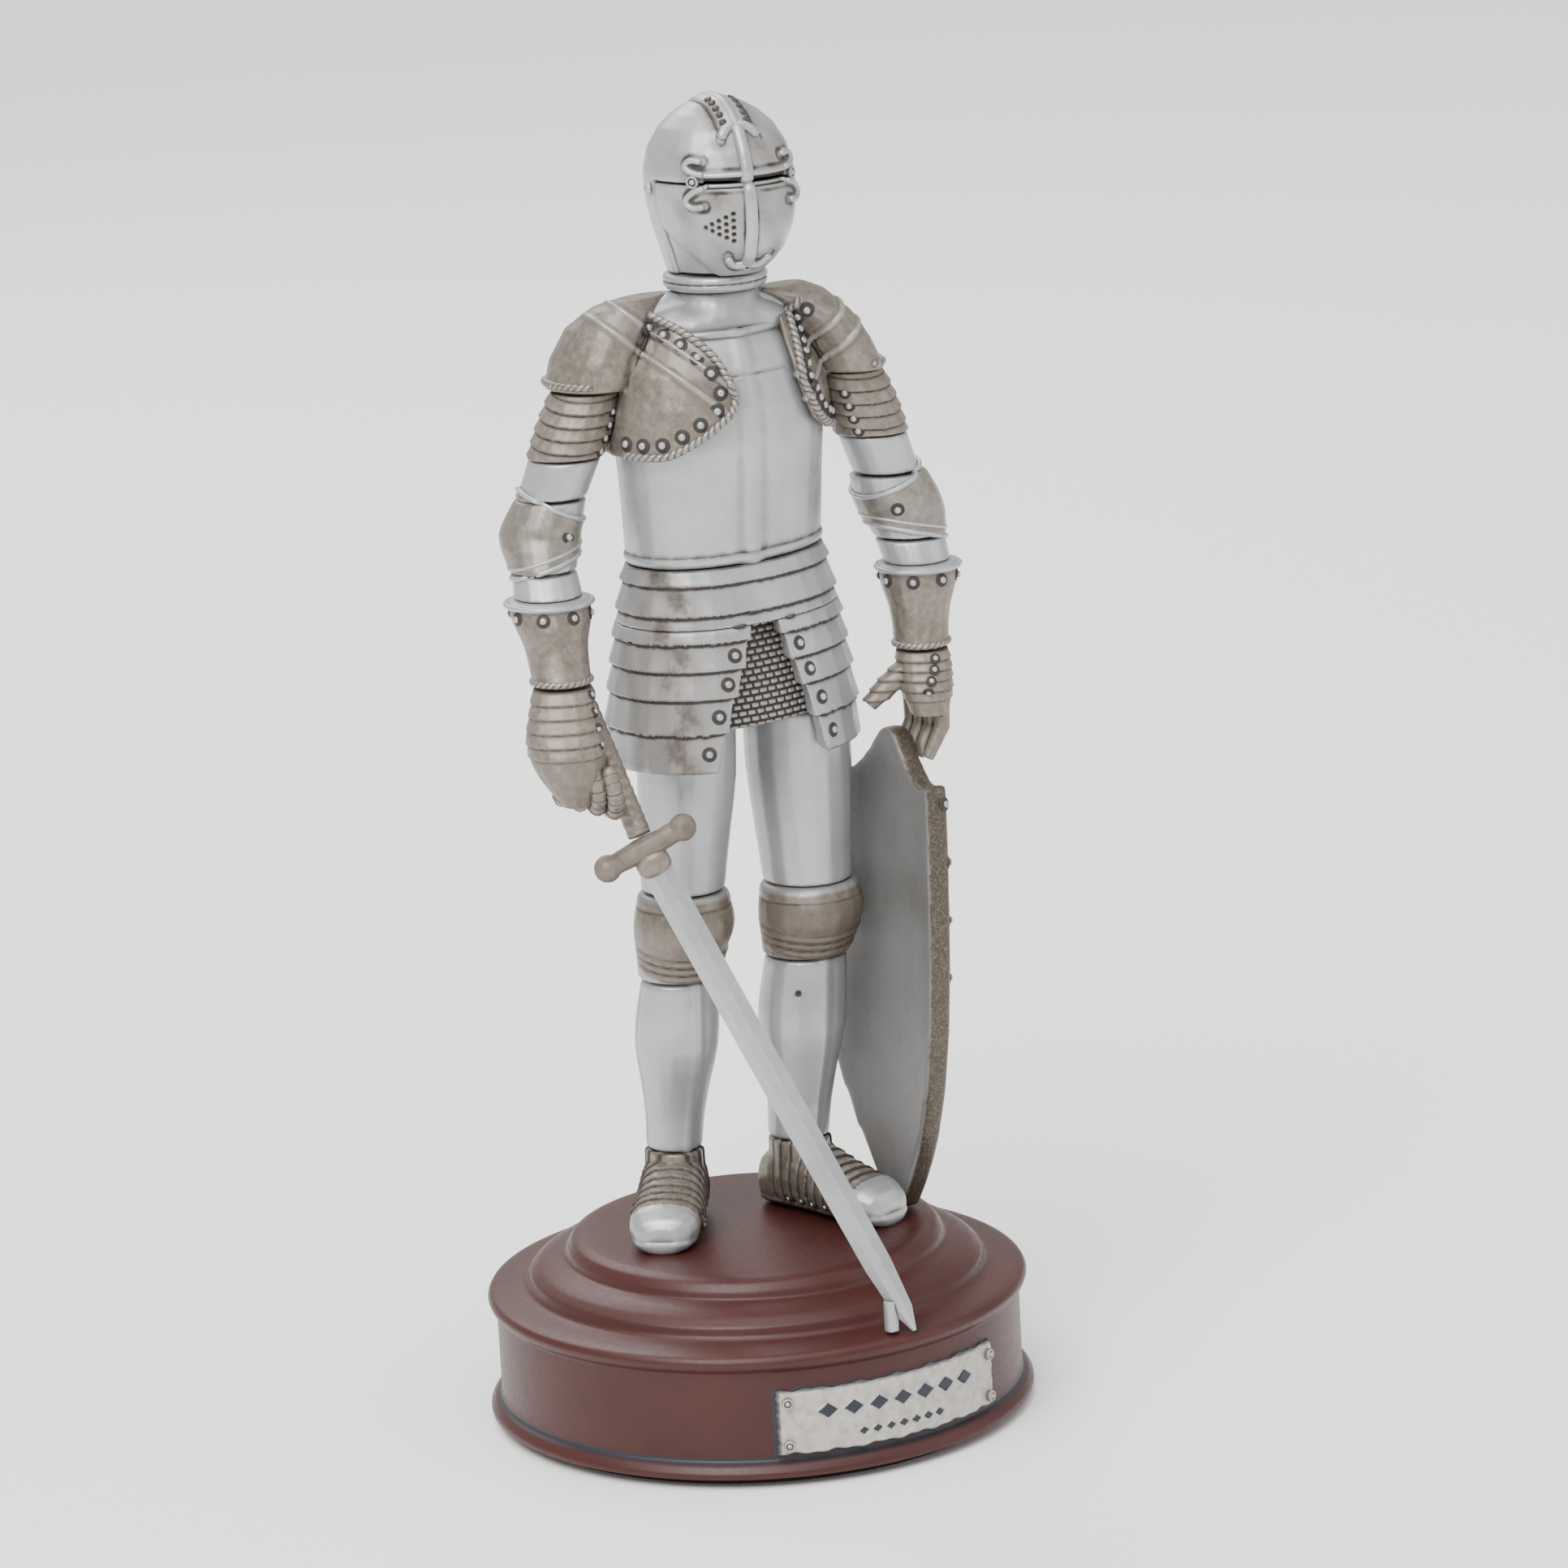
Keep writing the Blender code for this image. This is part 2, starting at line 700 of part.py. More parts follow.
def make_hips(thigh_rooms):
    """The mail skirt in the middle, with the fauld and three tassets hung around it."""
    mail_top = WAIST - GAP
    skirt_depth = -3.2
    mail = hip_shape("mail_skirt", mail_top, CROTCH, skirt_depth, 24)
    finish_piece(mail, "pewter_paint")
    room = finish_cutter(hip_shape("mail_room", WAIST + 2, TASSET_LOW - 2, skirt_depth + GAP, 24))

    fauld = hip_shape("fauld", WAIST - GAP, TASSET_HIGH + GAP)
    cut(fauld, room)
    finish_piece(fauld, "silver_paint")

    # The tassets share one ring, parted by three upright saw cuts and the notch in front.
    side_seam = 6.0
    notch_depth = 20.0
    middle = 1.2
    below = TASSET_LOW - 5
    half_notch = [(0.9, 124.6), (2.2, 123.2), (4.2, 117), (6.6, 111), (10.3, TASSET_LOW - 2)]
    outline = [(middle + x, z) for x, z in half_notch]
    outline += [(middle - x, z) for x, z in reversed(half_notch)]
    notch = finish_cutter(prism("front_notch", outline, notch_depth))
    notch.matrix_world = Matrix.Translation((0, -notch_depth * MM, 0)) @ notch.matrix_world
    turned_about_body(notch)
    regions = {
        "right_tasset": block("right_half", (-REACH, -REACH, below), (-GAP / 2, side_seam, WAIST)),
        "left_tasset": block("left_half", (GAP / 2, -REACH, below), (REACH, side_seam, WAIST)),
        "rear_tasset": block("back_half", (-REACH, side_seam + GAP, below), (REACH, REACH, WAIST)),
    }
    for name, region in regions.items():
        turned_about_body(finish_cutter(region))
        tasset = hip_shape(name, TASSET_HIGH, TASSET_LOW)
        keep_inside(tasset, region)
        cut(tasset, room, *thigh_rooms)
        if name != "rear_tasset":
            cut(tasset, notch)
        finish_piece(tasset, "silver_paint")


def make_trunk():
    """The cuirass, and the two rings of the neck.  Gives the room that the gorget needs."""
    cuirass = torso_shape("cuirass", 0.0)
    finish_piece(cuirass, "silver_paint")
    gorget_radii = [(6.4, 6.4), (6.8, 6.8), (8.4, 7.6), (9.6, 7.8)]
    ends = (COLLAR_LOW - GAP, NECK + GAP)
    gorget = limb("gorget", HEAD_LINE, *ends, gorget_radii, segments=24)
    finish_piece(gorget, "pewter_paint")
    collar_radii = [(7.3, 7.8), (7.7, 8.2), (7.2, 7.6)]
    collar = limb("collar_ring", HEAD_LINE, CHIN - GAP, COLLAR_LOW, collar_radii, segments=24)
    finish_piece(collar, "silver_paint")
    return finish_cutter(limb("gorget_room", HEAD_LINE, *ends, gorget_radii, grow=GAP, segments=24))


# ---------------------------------------------------------------- helmet


def make_helmet():
    """A close helmet: the skull and the visor part at the seam and just ahead of the pivots."""
    head_x, head_y = on_line(HEAD_LINE, VISOR_SEAM)
    pivot_y = -1.0
    low_corner = (-REACH, -REACH, CHIN - 5)
    visor_box = block("visor_region", low_corner, (REACH, pivot_y, VISOR_SEAM))
    skull_cut = block("skull_region", low_corner, (REACH, pivot_y + GAP, VISOR_SEAM + GAP))
    for region in (visor_box, skull_cut):
        turned_about_body(finish_cutter(region), HEAD_TURN, (head_x, head_y))
    skull = helmet_shape("helmet_skull")
    cut(skull, skull_cut)
    finish_piece(skull, "silver_paint")
    visor = helmet_shape("visor")
    keep_inside(visor, visor_box)
    finish_piece(visor, "silver_paint")

    room = finish_cutter(helmet_shape("helmet_room", GAP))
    strap = helmet_shape("visor_cross", STRAP_HEIGHT)
    arm_low = VISOR_SEAM + 0.4 - CROSS_ARM_HALF_WIDTH
    arm_high = VISOR_SEAM + 0.4 + CROSS_ARM_HALF_WIDTH
    half_cross = [
        (CROSS_BAR_HALF_WIDTH, CROSS_FOOT),
        (CROSS_BAR_HALF_WIDTH, arm_low),
        (CROSS_HALF_SPAN, arm_low),
        (CROSS_HALF_SPAN, arm_high),
        (CROSS_BAR_HALF_WIDTH, arm_high),
        (CROSS_BAR_HALF_WIDTH, CROSS_TOP),
    ]
    cross = half_cross + [(-x, z) for x, z in reversed(half_cross)]
    depth = 12.0
    cross_region = prism("cross_region", cross, depth)
    cross_region.matrix_world = Matrix.Translation((0, -depth * MM, 0)) @ cross_region.matrix_world
    turned_about_body(finish_cutter(cross_region), HEAD_TURN, (head_x, head_y))
    keep_inside(strap, cross_region)
    cut(strap, room)
    finish_piece(strap, "silver_paint")

    comb = helmet_shape("helmet_comb", COMB_HEIGHT)
    front_corner = (-COMB_HALF_WIDTH, COMB_FRONT, CROSS_TOP + GAP)
    ridge = block("comb_region", front_corner, (COMB_HALF_WIDTH, COMB_BACK, CROWN + 4))
    turned_about_body(finish_cutter(ridge), HEAD_TURN, (head_x, head_y))
    keep_inside(comb, ridge)
    cut(comb, room)
    finish_piece(comb, "silver_paint")

    for side, sign in (("right", -1), ("left", 1)):
        turn = math.radians(HEAD_TURN)
        reach = at_height(HELMET, VISOR_SEAM - 1)[0] * sign
        centre = Vector((head_x + reach * math.cos(turn), head_y + reach * math.sin(turn), VISOR_SEAM - 1))
        dome = ball(f"{side}_visor_pivot", centre, (1.1, 1.1, 1.1), 12)
        cut(dome, room)
        finish_piece(dome, "pewter_paint")


# ---------------------------------------------------------------- shoulders and arms


def mirror_outline(outline, sign):
    points = [(sign * x, z) for x, z in outline]
    return points if sign > 0 else points[::-1]


def make_pauldron(side, sign, outline, cap_rings, rooms):
    """A shoulder cap with a lobe over the breast and another over the back."""
    lobe = torso_shape(f"{side}_pauldron", 1.4)
    region = prism(f"{side}_lobe_region", mirror_outline(outline, sign), 25)
    turned_about_body(finish_cutter(region))
    keep_inside(lobe, region)
    rings = [level_ring((x, y, z), wide, deep, deep, BODY_TURN, 18) for z, x, y, wide, deep in cap_rings]
    cap = finish_cutter(loft(f"{side}_cap", rings))
    join(lobe, cap)
    room = finish_cutter(torso_shape(f"{side}_torso_room", GAP))
    cut(lobe, room, *rooms)
    finish_piece(lobe, "pewter_paint")


def make_arm(side, line, heights, sizes):
    """The arm below the pauldron, down to the wrist.  Gives the room that the lames need."""
    shoulder, lames, elbow_top, elbow_bottom, cuff_top, wrist = heights
    arm, elbow, rim, wrist_size = sizes
    lame_radii = [(arm - 0.5, arm - 0.1), (arm, arm + 0.3), (arm - 0.1, arm + 0.2)]
    clearance = finish_cutter(torso_shape(f"{side}_arm_clearance", GAP))
    band = cut(limb(f"{side}_arm_lames", line, shoulder, lames, lame_radii), clearance)
    finish_piece(band, "pewter_paint")
    upper_radii = [(arm - 0.4, arm), (arm - 0.5, arm - 0.2), (arm - 0.5, arm - 0.3)]
    upper = cut(limb(f"{side}_upper_arm", line, lames - GAP, elbow_top + GAP, upper_radii), clearance)
    finish_piece(upper, "silver_paint")
    cop_radii = [
        (elbow - 0.6, elbow - 0.4),
        (elbow, elbow + 0.3),
        (elbow - 0.1, elbow + 0.2),
        (elbow - 0.9, elbow - 0.8),
    ]
    cop = limb(f"{side}_elbow_cop", line, elbow_top, elbow_bottom, cop_radii)
    finish_piece(cop, "pewter_paint")
    fore_radii = [(elbow - 1.1, elbow - 1.1), (rim - 1.0, rim - 1.0)]
    fore = limb(f"{side}_forearm", line, elbow_bottom - GAP, cuff_top + GAP, fore_radii)
    finish_piece(fore, "silver_paint")
    cuff_radii = [
        (rim, rim),
        (rim - 0.3, rim - 0.3),
        (rim - 1.3, rim - 1.2),
        (wrist_size + 0.1, wrist_size),
        (wrist_size, wrist_size - 0.1),
    ]
    cuff = limb(f"{side}_gauntlet_cuff", line, cuff_top, wrist, cuff_radii)
    finish_piece(cuff, "pewter_paint")
    room = limb(f"{side}_lame_room", line, shoulder, lames, lame_radii, grow=GAP)
    return finish_cutter(room)


# ---------------------------------------------------------------- sword, hands and shield


def sword_frame():
    """The blade's direction towards the tip, its direction from edge to edge, and its face's."""
    along = (SWORD_TIP - SWORD_GUARD).normalized()
    width = along.cross(SWORD_FACE).normalized()
    return along, width, width.cross(along)


def blade_shape(name, grow=0.0):
    """The blade: a flattened hexagon in section, drawn to a point."""
    along, width, face = sword_frame()
    start = SWORD_GUARD + along * GUARD_FACE
    length = (SWORD_TIP - start).length
    stations = [  # share of the length, half width, half thickness
        (0.0, 2.35, 0.95),
        (0.5, 2.25, 0.9),
        (0.86, 2.1, 0.8),
        (0.955, 1.5, 0.6),
        (1.0, 0.3, 0.2),
    ]
    flat_share = 0.35
    rings = []
    for share, half_width, half_thick in stations:
        middle = start + along * (length * share)
        reach = width * (half_width + grow)
        lift = face * (half_thick + grow)
        ring = [
            middle + reach,
            middle + lift + reach * flat_share,
            middle + lift - reach * flat_share,
            middle - reach,
            middle - lift - reach * flat_share,
            middle - lift + reach * flat_share,
        ]
        rings.append(ring)
    return loft(name, rings)


def make_sword():
    """The sword and the small support under its tip.  Gives the room that the grip needs."""
    along, width, _ = sword_frame()
    finish_piece(blade_shape("sword_blade"), "silver_paint")

    up = (SWORD_BUTT - SWORD_GUARD).normalized()
    ends = (SWORD_GUARD - width * GUARD_HALF, SWORD_GUARD + width * GUARD_HALF)
    bar = tube("sword_guard", [ends[0], SWORD_GUARD, ends[1]], [1.5, 1.9, 1.5])
    for number, end in enumerate(ends):
        join(bar, finish_cutter(ball(f"guard_knob_{number}", end, [KNOB_RADIUS] * 3, 14)))
    for name, way in (("blade_face", along), ("grip_face", up)):
        face = cylinder(name, SWORD_GUARD + way * (GUARD_FACE - GAP), SWORD_GUARD + way * 9, 3.4)
        cut(bar, finish_cutter(face))
    finish_piece(bar, "pewter_paint")

    grip = cylinder("sword_grip", SWORD_GUARD + up * GUARD_FACE, SWORD_BUTT, GRIP_RADIUS, 16)
    finish_piece(grip, "pewter_paint")
    pommel_start = SWORD_BUTT + up * GAP
    pommel = ball("sword_pommel", pommel_start + up * 1.2, [POMMEL_RADIUS] * 3, 14)
    pommel_face = cylinder("pommel_face", SWORD_BUTT - up * 8, pommel_start, POMMEL_RADIUS * 2)
    cut(pommel, finish_cutter(pommel_face))
    finish_piece(pommel, "pewter_paint")

    under = SWORD_TIP - along * 4.5 + Vector((-1.2, 0.6, 0.6))
    foot = (under.x, under.y, SOLE - 7.2)
    rest = cylinder("tip_rest", foot, under, 1.1, 12)
    cut(rest, finish_cutter(blade_shape("blade_room", GAP)))
    finish_piece(rest, "silver_paint")
    room = cylinder("grip_room", SWORD_GUARD, SWORD_BUTT + up * 5, GRIP_RADIUS + GAP, 16)
    return finish_cutter(room)


def make_right_hand(grip_room):
    """A closed fist around the grip."""
    radii = [(4.4, 4.3), (5.0, 4.8), (5.6, 5.9), (5.6, 6.8), (4.4, 6.4), (2.4, 4.2)]
    fist = limb("right_hand", RIGHT_ARM, RIGHT_WRIST - GAP, 99.5, radii, turn=30.0, power=2.4, steps=8)
    cut(fist, grip_room)
    finish_piece(fist, "pewter_paint")


def make_left_hand(shield_room):
    """An open hand: the thumb stands away and the fingers hook over the top of the shield."""
    radii = [(4.0, 3.9), (4.2, 4.4), (3.9, 4.8), (3.0, 4.6)]
    palm = limb("left_hand", LEFT_ARM, LEFT_WRIST - GAP, 104.0, radii, turn=30.0, power=2.4)
    thumb = tube("left_thumb", [(27.6, -7.0, 111), (24.4, -5.4, 108), (22.0, -4.6, 105.6)], [1.9, 1.7, 1.3])
    join(palm, finish_cutter(thumb))
    for number in range(4):
        back = number * 2.3
        knuckle = Vector((31.0 - 0.3 * number, -10.6 + back, 106.0))
        middle = knuckle + Vector((0.0, 0, -4.0))
        tip = knuckle + Vector((-2.8, 0, -8.6))
        finger = tube(f"left_finger_{number}", [knuckle, middle, tip], [1.45, 1.35, 1.0])
        join(palm, finish_cutter(finger))
    cut(palm, shield_room)
    finish_piece(palm, "pewter_paint")


def shield_outline():
    """Half of the outline, mirrored: (distance from the middle line, height above the point)."""
    w = SHIELD_HALF_WIDTH
    h = SHIELD_HEIGHT
    half = [
        (1.6, 0.0),
        (5.2, 5.0),
        (9.4, 12.0),
        (13.0, 20.5),
        (15.6, 30.0),
        (w - 0.2, 40.0),
        (w, 50.0),
        (w - 0.3, 60.0),
        (w - 1.0, h - 6.8),
        (w - 2.4, h - 6.9),
        (w - 5.2, h - 7.8),
        (w - 8.4, h - 7.2),
        (w - 11.2, h - 5.2),
        (w - 13.2, h - 3.0),
        (2.4, h - 1.0),
        (0.9, h - 0.1),
    ]
    return half + [(-x, z) for x, z in reversed(half)]


def shield_shape(name, grow=0.0):
    """A board bent about an upright axis: a curved shell kept inside the shield's outline."""
    inner = SHIELD_BEND_RADIUS - grow
    outer = SHIELD_BEND_RADIUS + SHIELD_THICKNESS + grow
    low = -2.0
    high = SHIELD_HEIGHT + 2.0
    profile = [(inner, high), (outer, high), (outer, low), (inner, low), (inner, high)]
    board = turned(name, profile, segments=96)
    spread = 1 + grow / SHIELD_HALF_WIDTH
    outline = [(x * spread, z + math.copysign(grow, z - 1)) for x, z in shield_outline()]
    region = prism(f"{name}_region", outline, 30)
    region.matrix_world = Matrix.Translation((0, -45 * MM, 0)) @ region.matrix_world
    quarter = Matrix.Rotation(math.pi / 2, 4, "Z")
    stand = (
        Matrix.Translation(SHIELD_POINT * MM)
        @ Matrix.Rotation(SHIELD_LEAN, 4, "Y")
        @ Matrix.Rotation(-SHIELD_TILT, 4, "X")
        @ quarter
        @ Matrix.Translation((0, SHIELD_BEND_RADIUS * MM, 0))
    )
    region.matrix_world = stand @ region.matrix_world
    board.matrix_world = stand
    keep_inside(board, finish_cutter(region))
    return board


def make_shield():
    """The shield, standing on its point.  Gives the room that the hand must leave for it."""
    board = shield_shape("shield_board")
    cut(board, finish_cutter(block("shield_floor", (0, -40, 0), (60, 40, SOLE + GAP))))
    finish_piece(board, "silver_paint")
    return finish_cutter(shield_shape("shield_room", GAP))


def main():
    make_base()
    make_name_plate()
    thigh_rooms = [
        make_leg("right", RIGHT_LEG, RIGHT_KNEE, RIGHT_LEG_RADII),
        make_leg("left", LEFT_LEG, LEFT_KNEE, LEFT_LEG_RADII),
    ]
    make_hips(thigh_rooms)
    gorget_room = make_trunk()
    make_helmet()
    right_room = make_arm("right", RIGHT_ARM, RIGHT_ARM_HEIGHTS, RIGHT_ARM_RADII)
    left_room = make_arm("left", LEFT_ARM, LEFT_ARM_HEIGHTS, LEFT_ARM_RADII)
    make_pauldron("right", -1, RIGHT_LOBE, RIGHT_CAP, (right_room, gorget_room))
    make_pauldron("left", 1, LEFT_LOBE, LEFT_CAP, (left_room, gorget_room))
    make_right_hand(make_sword())
    make_left_hand(make_shield())


main()
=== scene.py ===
"""Looks of the knight figurine: fine armour detail, antiqued paint, camera, floor and light.

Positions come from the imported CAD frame.  Lengths here are millimetres until a mesh is made.
"""

import json
import math

import bpy
import numpy as np
from mathutils import Matrix, Vector
from mathutils.bvhtree import BVHTree


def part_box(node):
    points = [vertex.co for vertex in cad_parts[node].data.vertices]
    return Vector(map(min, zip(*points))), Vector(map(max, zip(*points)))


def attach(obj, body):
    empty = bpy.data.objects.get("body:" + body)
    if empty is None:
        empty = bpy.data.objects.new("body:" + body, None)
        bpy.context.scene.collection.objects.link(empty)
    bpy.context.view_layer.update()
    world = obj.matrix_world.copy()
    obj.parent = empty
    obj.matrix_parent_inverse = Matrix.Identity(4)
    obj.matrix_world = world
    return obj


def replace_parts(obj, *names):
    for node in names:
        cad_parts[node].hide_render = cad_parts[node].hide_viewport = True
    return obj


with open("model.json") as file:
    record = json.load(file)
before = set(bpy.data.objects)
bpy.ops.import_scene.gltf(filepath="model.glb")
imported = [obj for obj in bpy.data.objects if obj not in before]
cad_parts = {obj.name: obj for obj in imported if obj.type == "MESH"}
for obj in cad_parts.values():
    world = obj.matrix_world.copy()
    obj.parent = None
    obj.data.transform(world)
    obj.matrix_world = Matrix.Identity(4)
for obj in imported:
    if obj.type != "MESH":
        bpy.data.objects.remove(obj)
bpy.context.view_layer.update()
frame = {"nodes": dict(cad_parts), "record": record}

MM = 0.001
BODY_TURN = math.radians(-11.0)  # the figure faces a little to its right
HEAD_TURN = math.radians(-9.0)
SIGN = {"right": -1, "left": 1}  # across is positive towards the figure's left
UP = Vector((0, 0, 1))


def node_mesh(node):
    return frame["nodes"][node].data


def box_mm(node):
    low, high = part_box(node)
    return Vector(low) / MM, Vector(high) / MM


def box_middle(node):
    low, high = box_mm(node)
    return (low + high) / 2


# ---- frames of reference


class Facing:
    """An upright axis with a heading: across is towards the figure's left, ahead is to its front."""

    def __init__(self, x, y, turn):
        self.x = x
        self.y = y
        self.cosine = math.cos(turn)
        self.sine = math.sin(turn)

    def local(self, points):
        """Arrays of across and ahead for an array of points."""
        dx = points[:, 0] - self.x
        dy = points[:, 1] - self.y
        return self.cosine * dx + self.sine * dy, self.sine * dx - self.cosine * dy

    def place(self, across, ahead, height):
        x = self.x + self.cosine * across + self.sine * ahead
        y = self.y + self.sine * across - self.cosine * ahead
        return Vector((x, y, height))

    def outward(self, angle):
        """The level direction at an angle from straight ahead, towards the figure's left."""
        return self.place(math.sin(angle), math.cos(angle), 0) - self.place(0, 0, 0)


TRUNK = box_middle("cuirass")
BODY = Facing(TRUNK.x, TRUNK.y + 0.6, BODY_TURN)  # the trunk is deeper in front than behind
HEAD_MIDDLE = box_middle("helmet_skull")
HEAD = Facing(HEAD_MIDDLE.x, HEAD_MIDDLE.y, HEAD_TURN)


def read(items, key, width, kind=float):
    """One attribute of all the items of a mesh, as rows of numbers."""
    values = np.empty(len(items) * width, dtype=kind)
    items.foreach_get(key, values)
    return values.reshape(-1, width)


def mesh_arrays(mesh):
    """The vertices in millimetres, and the two vertices of each edge."""
    return read(mesh.vertices, "co", 3) / MM, read(mesh.edges, "vertices", 2, np.int64)


def normals_of(mesh):
    return read(mesh.vertex_normals, "vector", 3)


class MiddleLine:
    """The middle of an upright node at each height, with angles about it."""

    def __init__(self, node, turn=BODY_TURN):
        points, edges = mesh_arrays(node_mesh(node))
        self.turn = turn
        self.low = points[:, 2].min()
        self.high = points[:, 2].max()
        inset = 0.02 * (self.high - self.low)
        self.heights = np.linspace(self.low + inset, self.high - inset, 25)
        starts = points[edges[:, 0]]
        ends = points[edges[:, 1]]
        middles = []
        for height in self.heights:
            crossing = (starts[:, 2] > height) != (ends[:, 2] > height)
            a = starts[crossing]
            b = ends[crossing]
            share = (height - a[:, 2]) / (b[:, 2] - a[:, 2])
            level = a[:, :2] + (b[:, :2] - a[:, :2]) * share[:, None]
            middles.append((level.min(axis=0) + level.max(axis=0)) / 2)
        self.middles = np.array(middles)

    def at(self, heights):
        x = np.interp(heights, self.heights, self.middles[:, 0])
        y = np.interp(heights, self.heights, self.middles[:, 1])
        return x, y

    def point(self, height):
        x, y = self.at(height)
        return Vector((float(x), float(y), height))

    def facing(self, height):
        middle = self.point(height)
        return Facing(middle.x, middle.y, self.turn)

    def angles(self, points):
        """The angle of each point about the line: 0 to the front, positive to the figure's left."""
        return np.arctan2(*Facing(*self.at(points[:, 2]), self.turn).local(points))


# ---- pieces


def add_piece(name, mesh, material, nodes=()):
    """Puts a finished mesh into the scene, riding on the figurine."""
    piece = bpy.data.objects.new(name, mesh)
    bpy.context.scene.collection.objects.link(piece)
    mesh.materials.clear()
    mesh.materials.append(material)
    mesh.shade_smooth()
    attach(piece, "root")
    if nodes:
        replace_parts(piece, *nodes)
    return piece


def new_mesh(name, points, faces):
    """A mesh from points in millimetres."""
    mesh = bpy.data.meshes.new(name)
    mesh.from_pydata((points * MM).tolist(), [], faces)
    mesh.update()
    return mesh


def grid_mesh(name, points, wash=None, along=False):
    """A tube over a rows x columns x 3 array.  along closes it into a ring; otherwise it has end caps."""
    rows, columns = points.shape[:2]
    index = np.arange(rows * columns).reshape(rows, columns)
    across = np.roll(index, -1, axis=1)
    down = np.roll(index, -1, axis=0)
    both = np.roll(across, -1, axis=0)
    quads = np.stack([index, down, both, across], axis=-1)
    if not along:
        quads = quads[:-1]
    faces = quads.reshape(-1, 4).tolist()
    if not along:
        faces += [index[0].tolist(), index[-1][::-1].tolist()]
    mesh = new_mesh(name, points.reshape(-1, 3), faces)
    if wash is not None:
        set_paint(mesh, wash=wash.reshape(-1))
    return mesh


def sheet_mesh(name, front, back):
    """A closed sheet between two matching rows x columns x 3 arrays."""
    rows, columns = front.shape[:2]
    index = np.arange(rows * columns).reshape(rows, columns)
    shift = rows * columns
    corners = [index[:-1, :-1], index[:-1, 1:], index[1:, 1:], index[1:, :-1]]
    faces = np.stack(corners, axis=-1).reshape(-1, 4)
    behind = faces[:, [0, 3, 2, 1]] + shift
    rim = np.concatenate([index[0, :], index[1:, -1], index[-1, -2::-1], index[-2:0:-1, 0]])
    after = np.roll(rim, -1)
    band = np.stack([rim, rim + shift, after + shift, after], axis=-1)
    points = np.concatenate([front.reshape(-1, 3), back.reshape(-1, 3)])
    return new_mesh(name, points, np.concatenate([faces, behind, band]).tolist())


def set_paint(mesh, wash=None, tone=None):
    """Paint attributes: wash is dark paint left in recesses, tone runs from silver 0 to pewter 1."""
    for name, values in (("wash", wash), ("tone", tone)):
        if values is not None:
            layer = mesh.attributes.get(name) or mesh.attributes.new(name, "FLOAT", "POINT")
            values = np.zeros(len(mesh.vertices)) + values
            layer.data.foreach_set("value", np.clip(values, 0, 1).astype(np.float32))


def join_meshes(name, meshes):
    """One mesh from several, with their paint attributes."""
    points, faces, paint = [], [], {"wash": [], "tone": []}
    offset = 0
    for mesh in meshes:
        count = len(mesh.vertices)
        points.append(read(mesh.vertices, "co", 3) / MM)
        faces += [[v + offset for v in polygon.vertices] for polygon in mesh.polygons]
        for key, values in paint.items():
            layer = mesh.attributes.get(key)
            values.append(read(layer.data, "value", 1)[:, 0] if layer else np.zeros(count))
        offset += count
        bpy.data.meshes.remove(mesh)
    joined = new_mesh(name, np.concatenate(points), faces)
    set_paint(joined, np.concatenate(paint["wash"]), np.concatenate(paint["tone"]))
    return joined


# ---- fine meshes from CAD nodes


def fine_mesh(node, voxel, rounds):
    """An even, fine mesh of a CAD node, with the facets smoothed away."""
    work = bpy.data.objects.new("work", node_mesh(node).copy())
    bpy.context.scene.collection.objects.link(work)
    remesh = work.modifiers.new("even", "REMESH")
    remesh.mode = "VOXEL"
    remesh.voxel_size = voxel * MM
    smooth = work.modifiers.new("soft", "SMOOTH")
    smooth.factor = 0.5
    smooth.iterations = rounds
    bpy.context.view_layer.update()
    graph = bpy.context.evaluated_depsgraph_get()
    mesh = bpy.data.meshes.new_from_object(work.evaluated_get(graph))
    bpy.data.objects.remove(work)
    return mesh


def neighbour_sums(edges, values):
    """For each vertex, the sum of the values at the vertices it shares an edge with."""
    starts, ends = edges.T
    count = len(values)
    return np.bincount(starts, values[ends], count) + np.bincount(ends, values[starts], count)


def hollowness(mesh, rounds):
    """How far each vertex lies below its surroundings, in millimetres."""
    points, edges = mesh_arrays(mesh)
    count = np.maximum(neighbour_sums(edges, np.ones(len(points))), 1)
    level = points.copy()
    for _ in range(rounds):
        level = np.stack([neighbour_sums(edges, column) for column in level.T], axis=1) / count[:, None]
    return ((level - points) * normals_of(mesh)).sum(axis=1)


def push_out(mesh, distance):
    """Moves each vertex along its normal."""
    points, _ = mesh_arrays(mesh)
    points += normals_of(mesh) * distance[:, None]
    mesh.vertices.foreach_set("co", (points * MM).reshape(-1))
    mesh.update()


WASH_REACH = 6  # rounds of levelling in which a recess catches wash
WASH_PER_MM = 9.0
CREASE_REACH = 160  # rounds of levelling that smooth a broad crease away


def carve(mesh, relief, wash=None, tone=0.0):
    """Moves the surface out by relief, and paints it: wash gathers where it ends up hollow."""
    push_out(mesh, relief)
    gathered = hollowness(mesh, WASH_REACH) * WASH_PER_MM
    if wash is not None:
        gathered = np.maximum(gathered, wash)
    set_paint(mesh, gathered, tone)


def fill_hollows(mesh, share):
    """Brings broad creases up to their surroundings where share is 1."""
    push_out(mesh, np.clip(hollowness(mesh, CREASE_REACH), 0, None) * share)


def bump(value, middle, width):
    """A smooth bump of height 1, which falls to a third at the width."""
    return np.exp(-(((value - middle) / width) ** 2))


def rise(value, start, end):
    """0 before start, 1 after end, smooth between."""
    share = np.clip((value - start) / (end - start), 0, 1)
    return share * share * (3 - 2 * share)


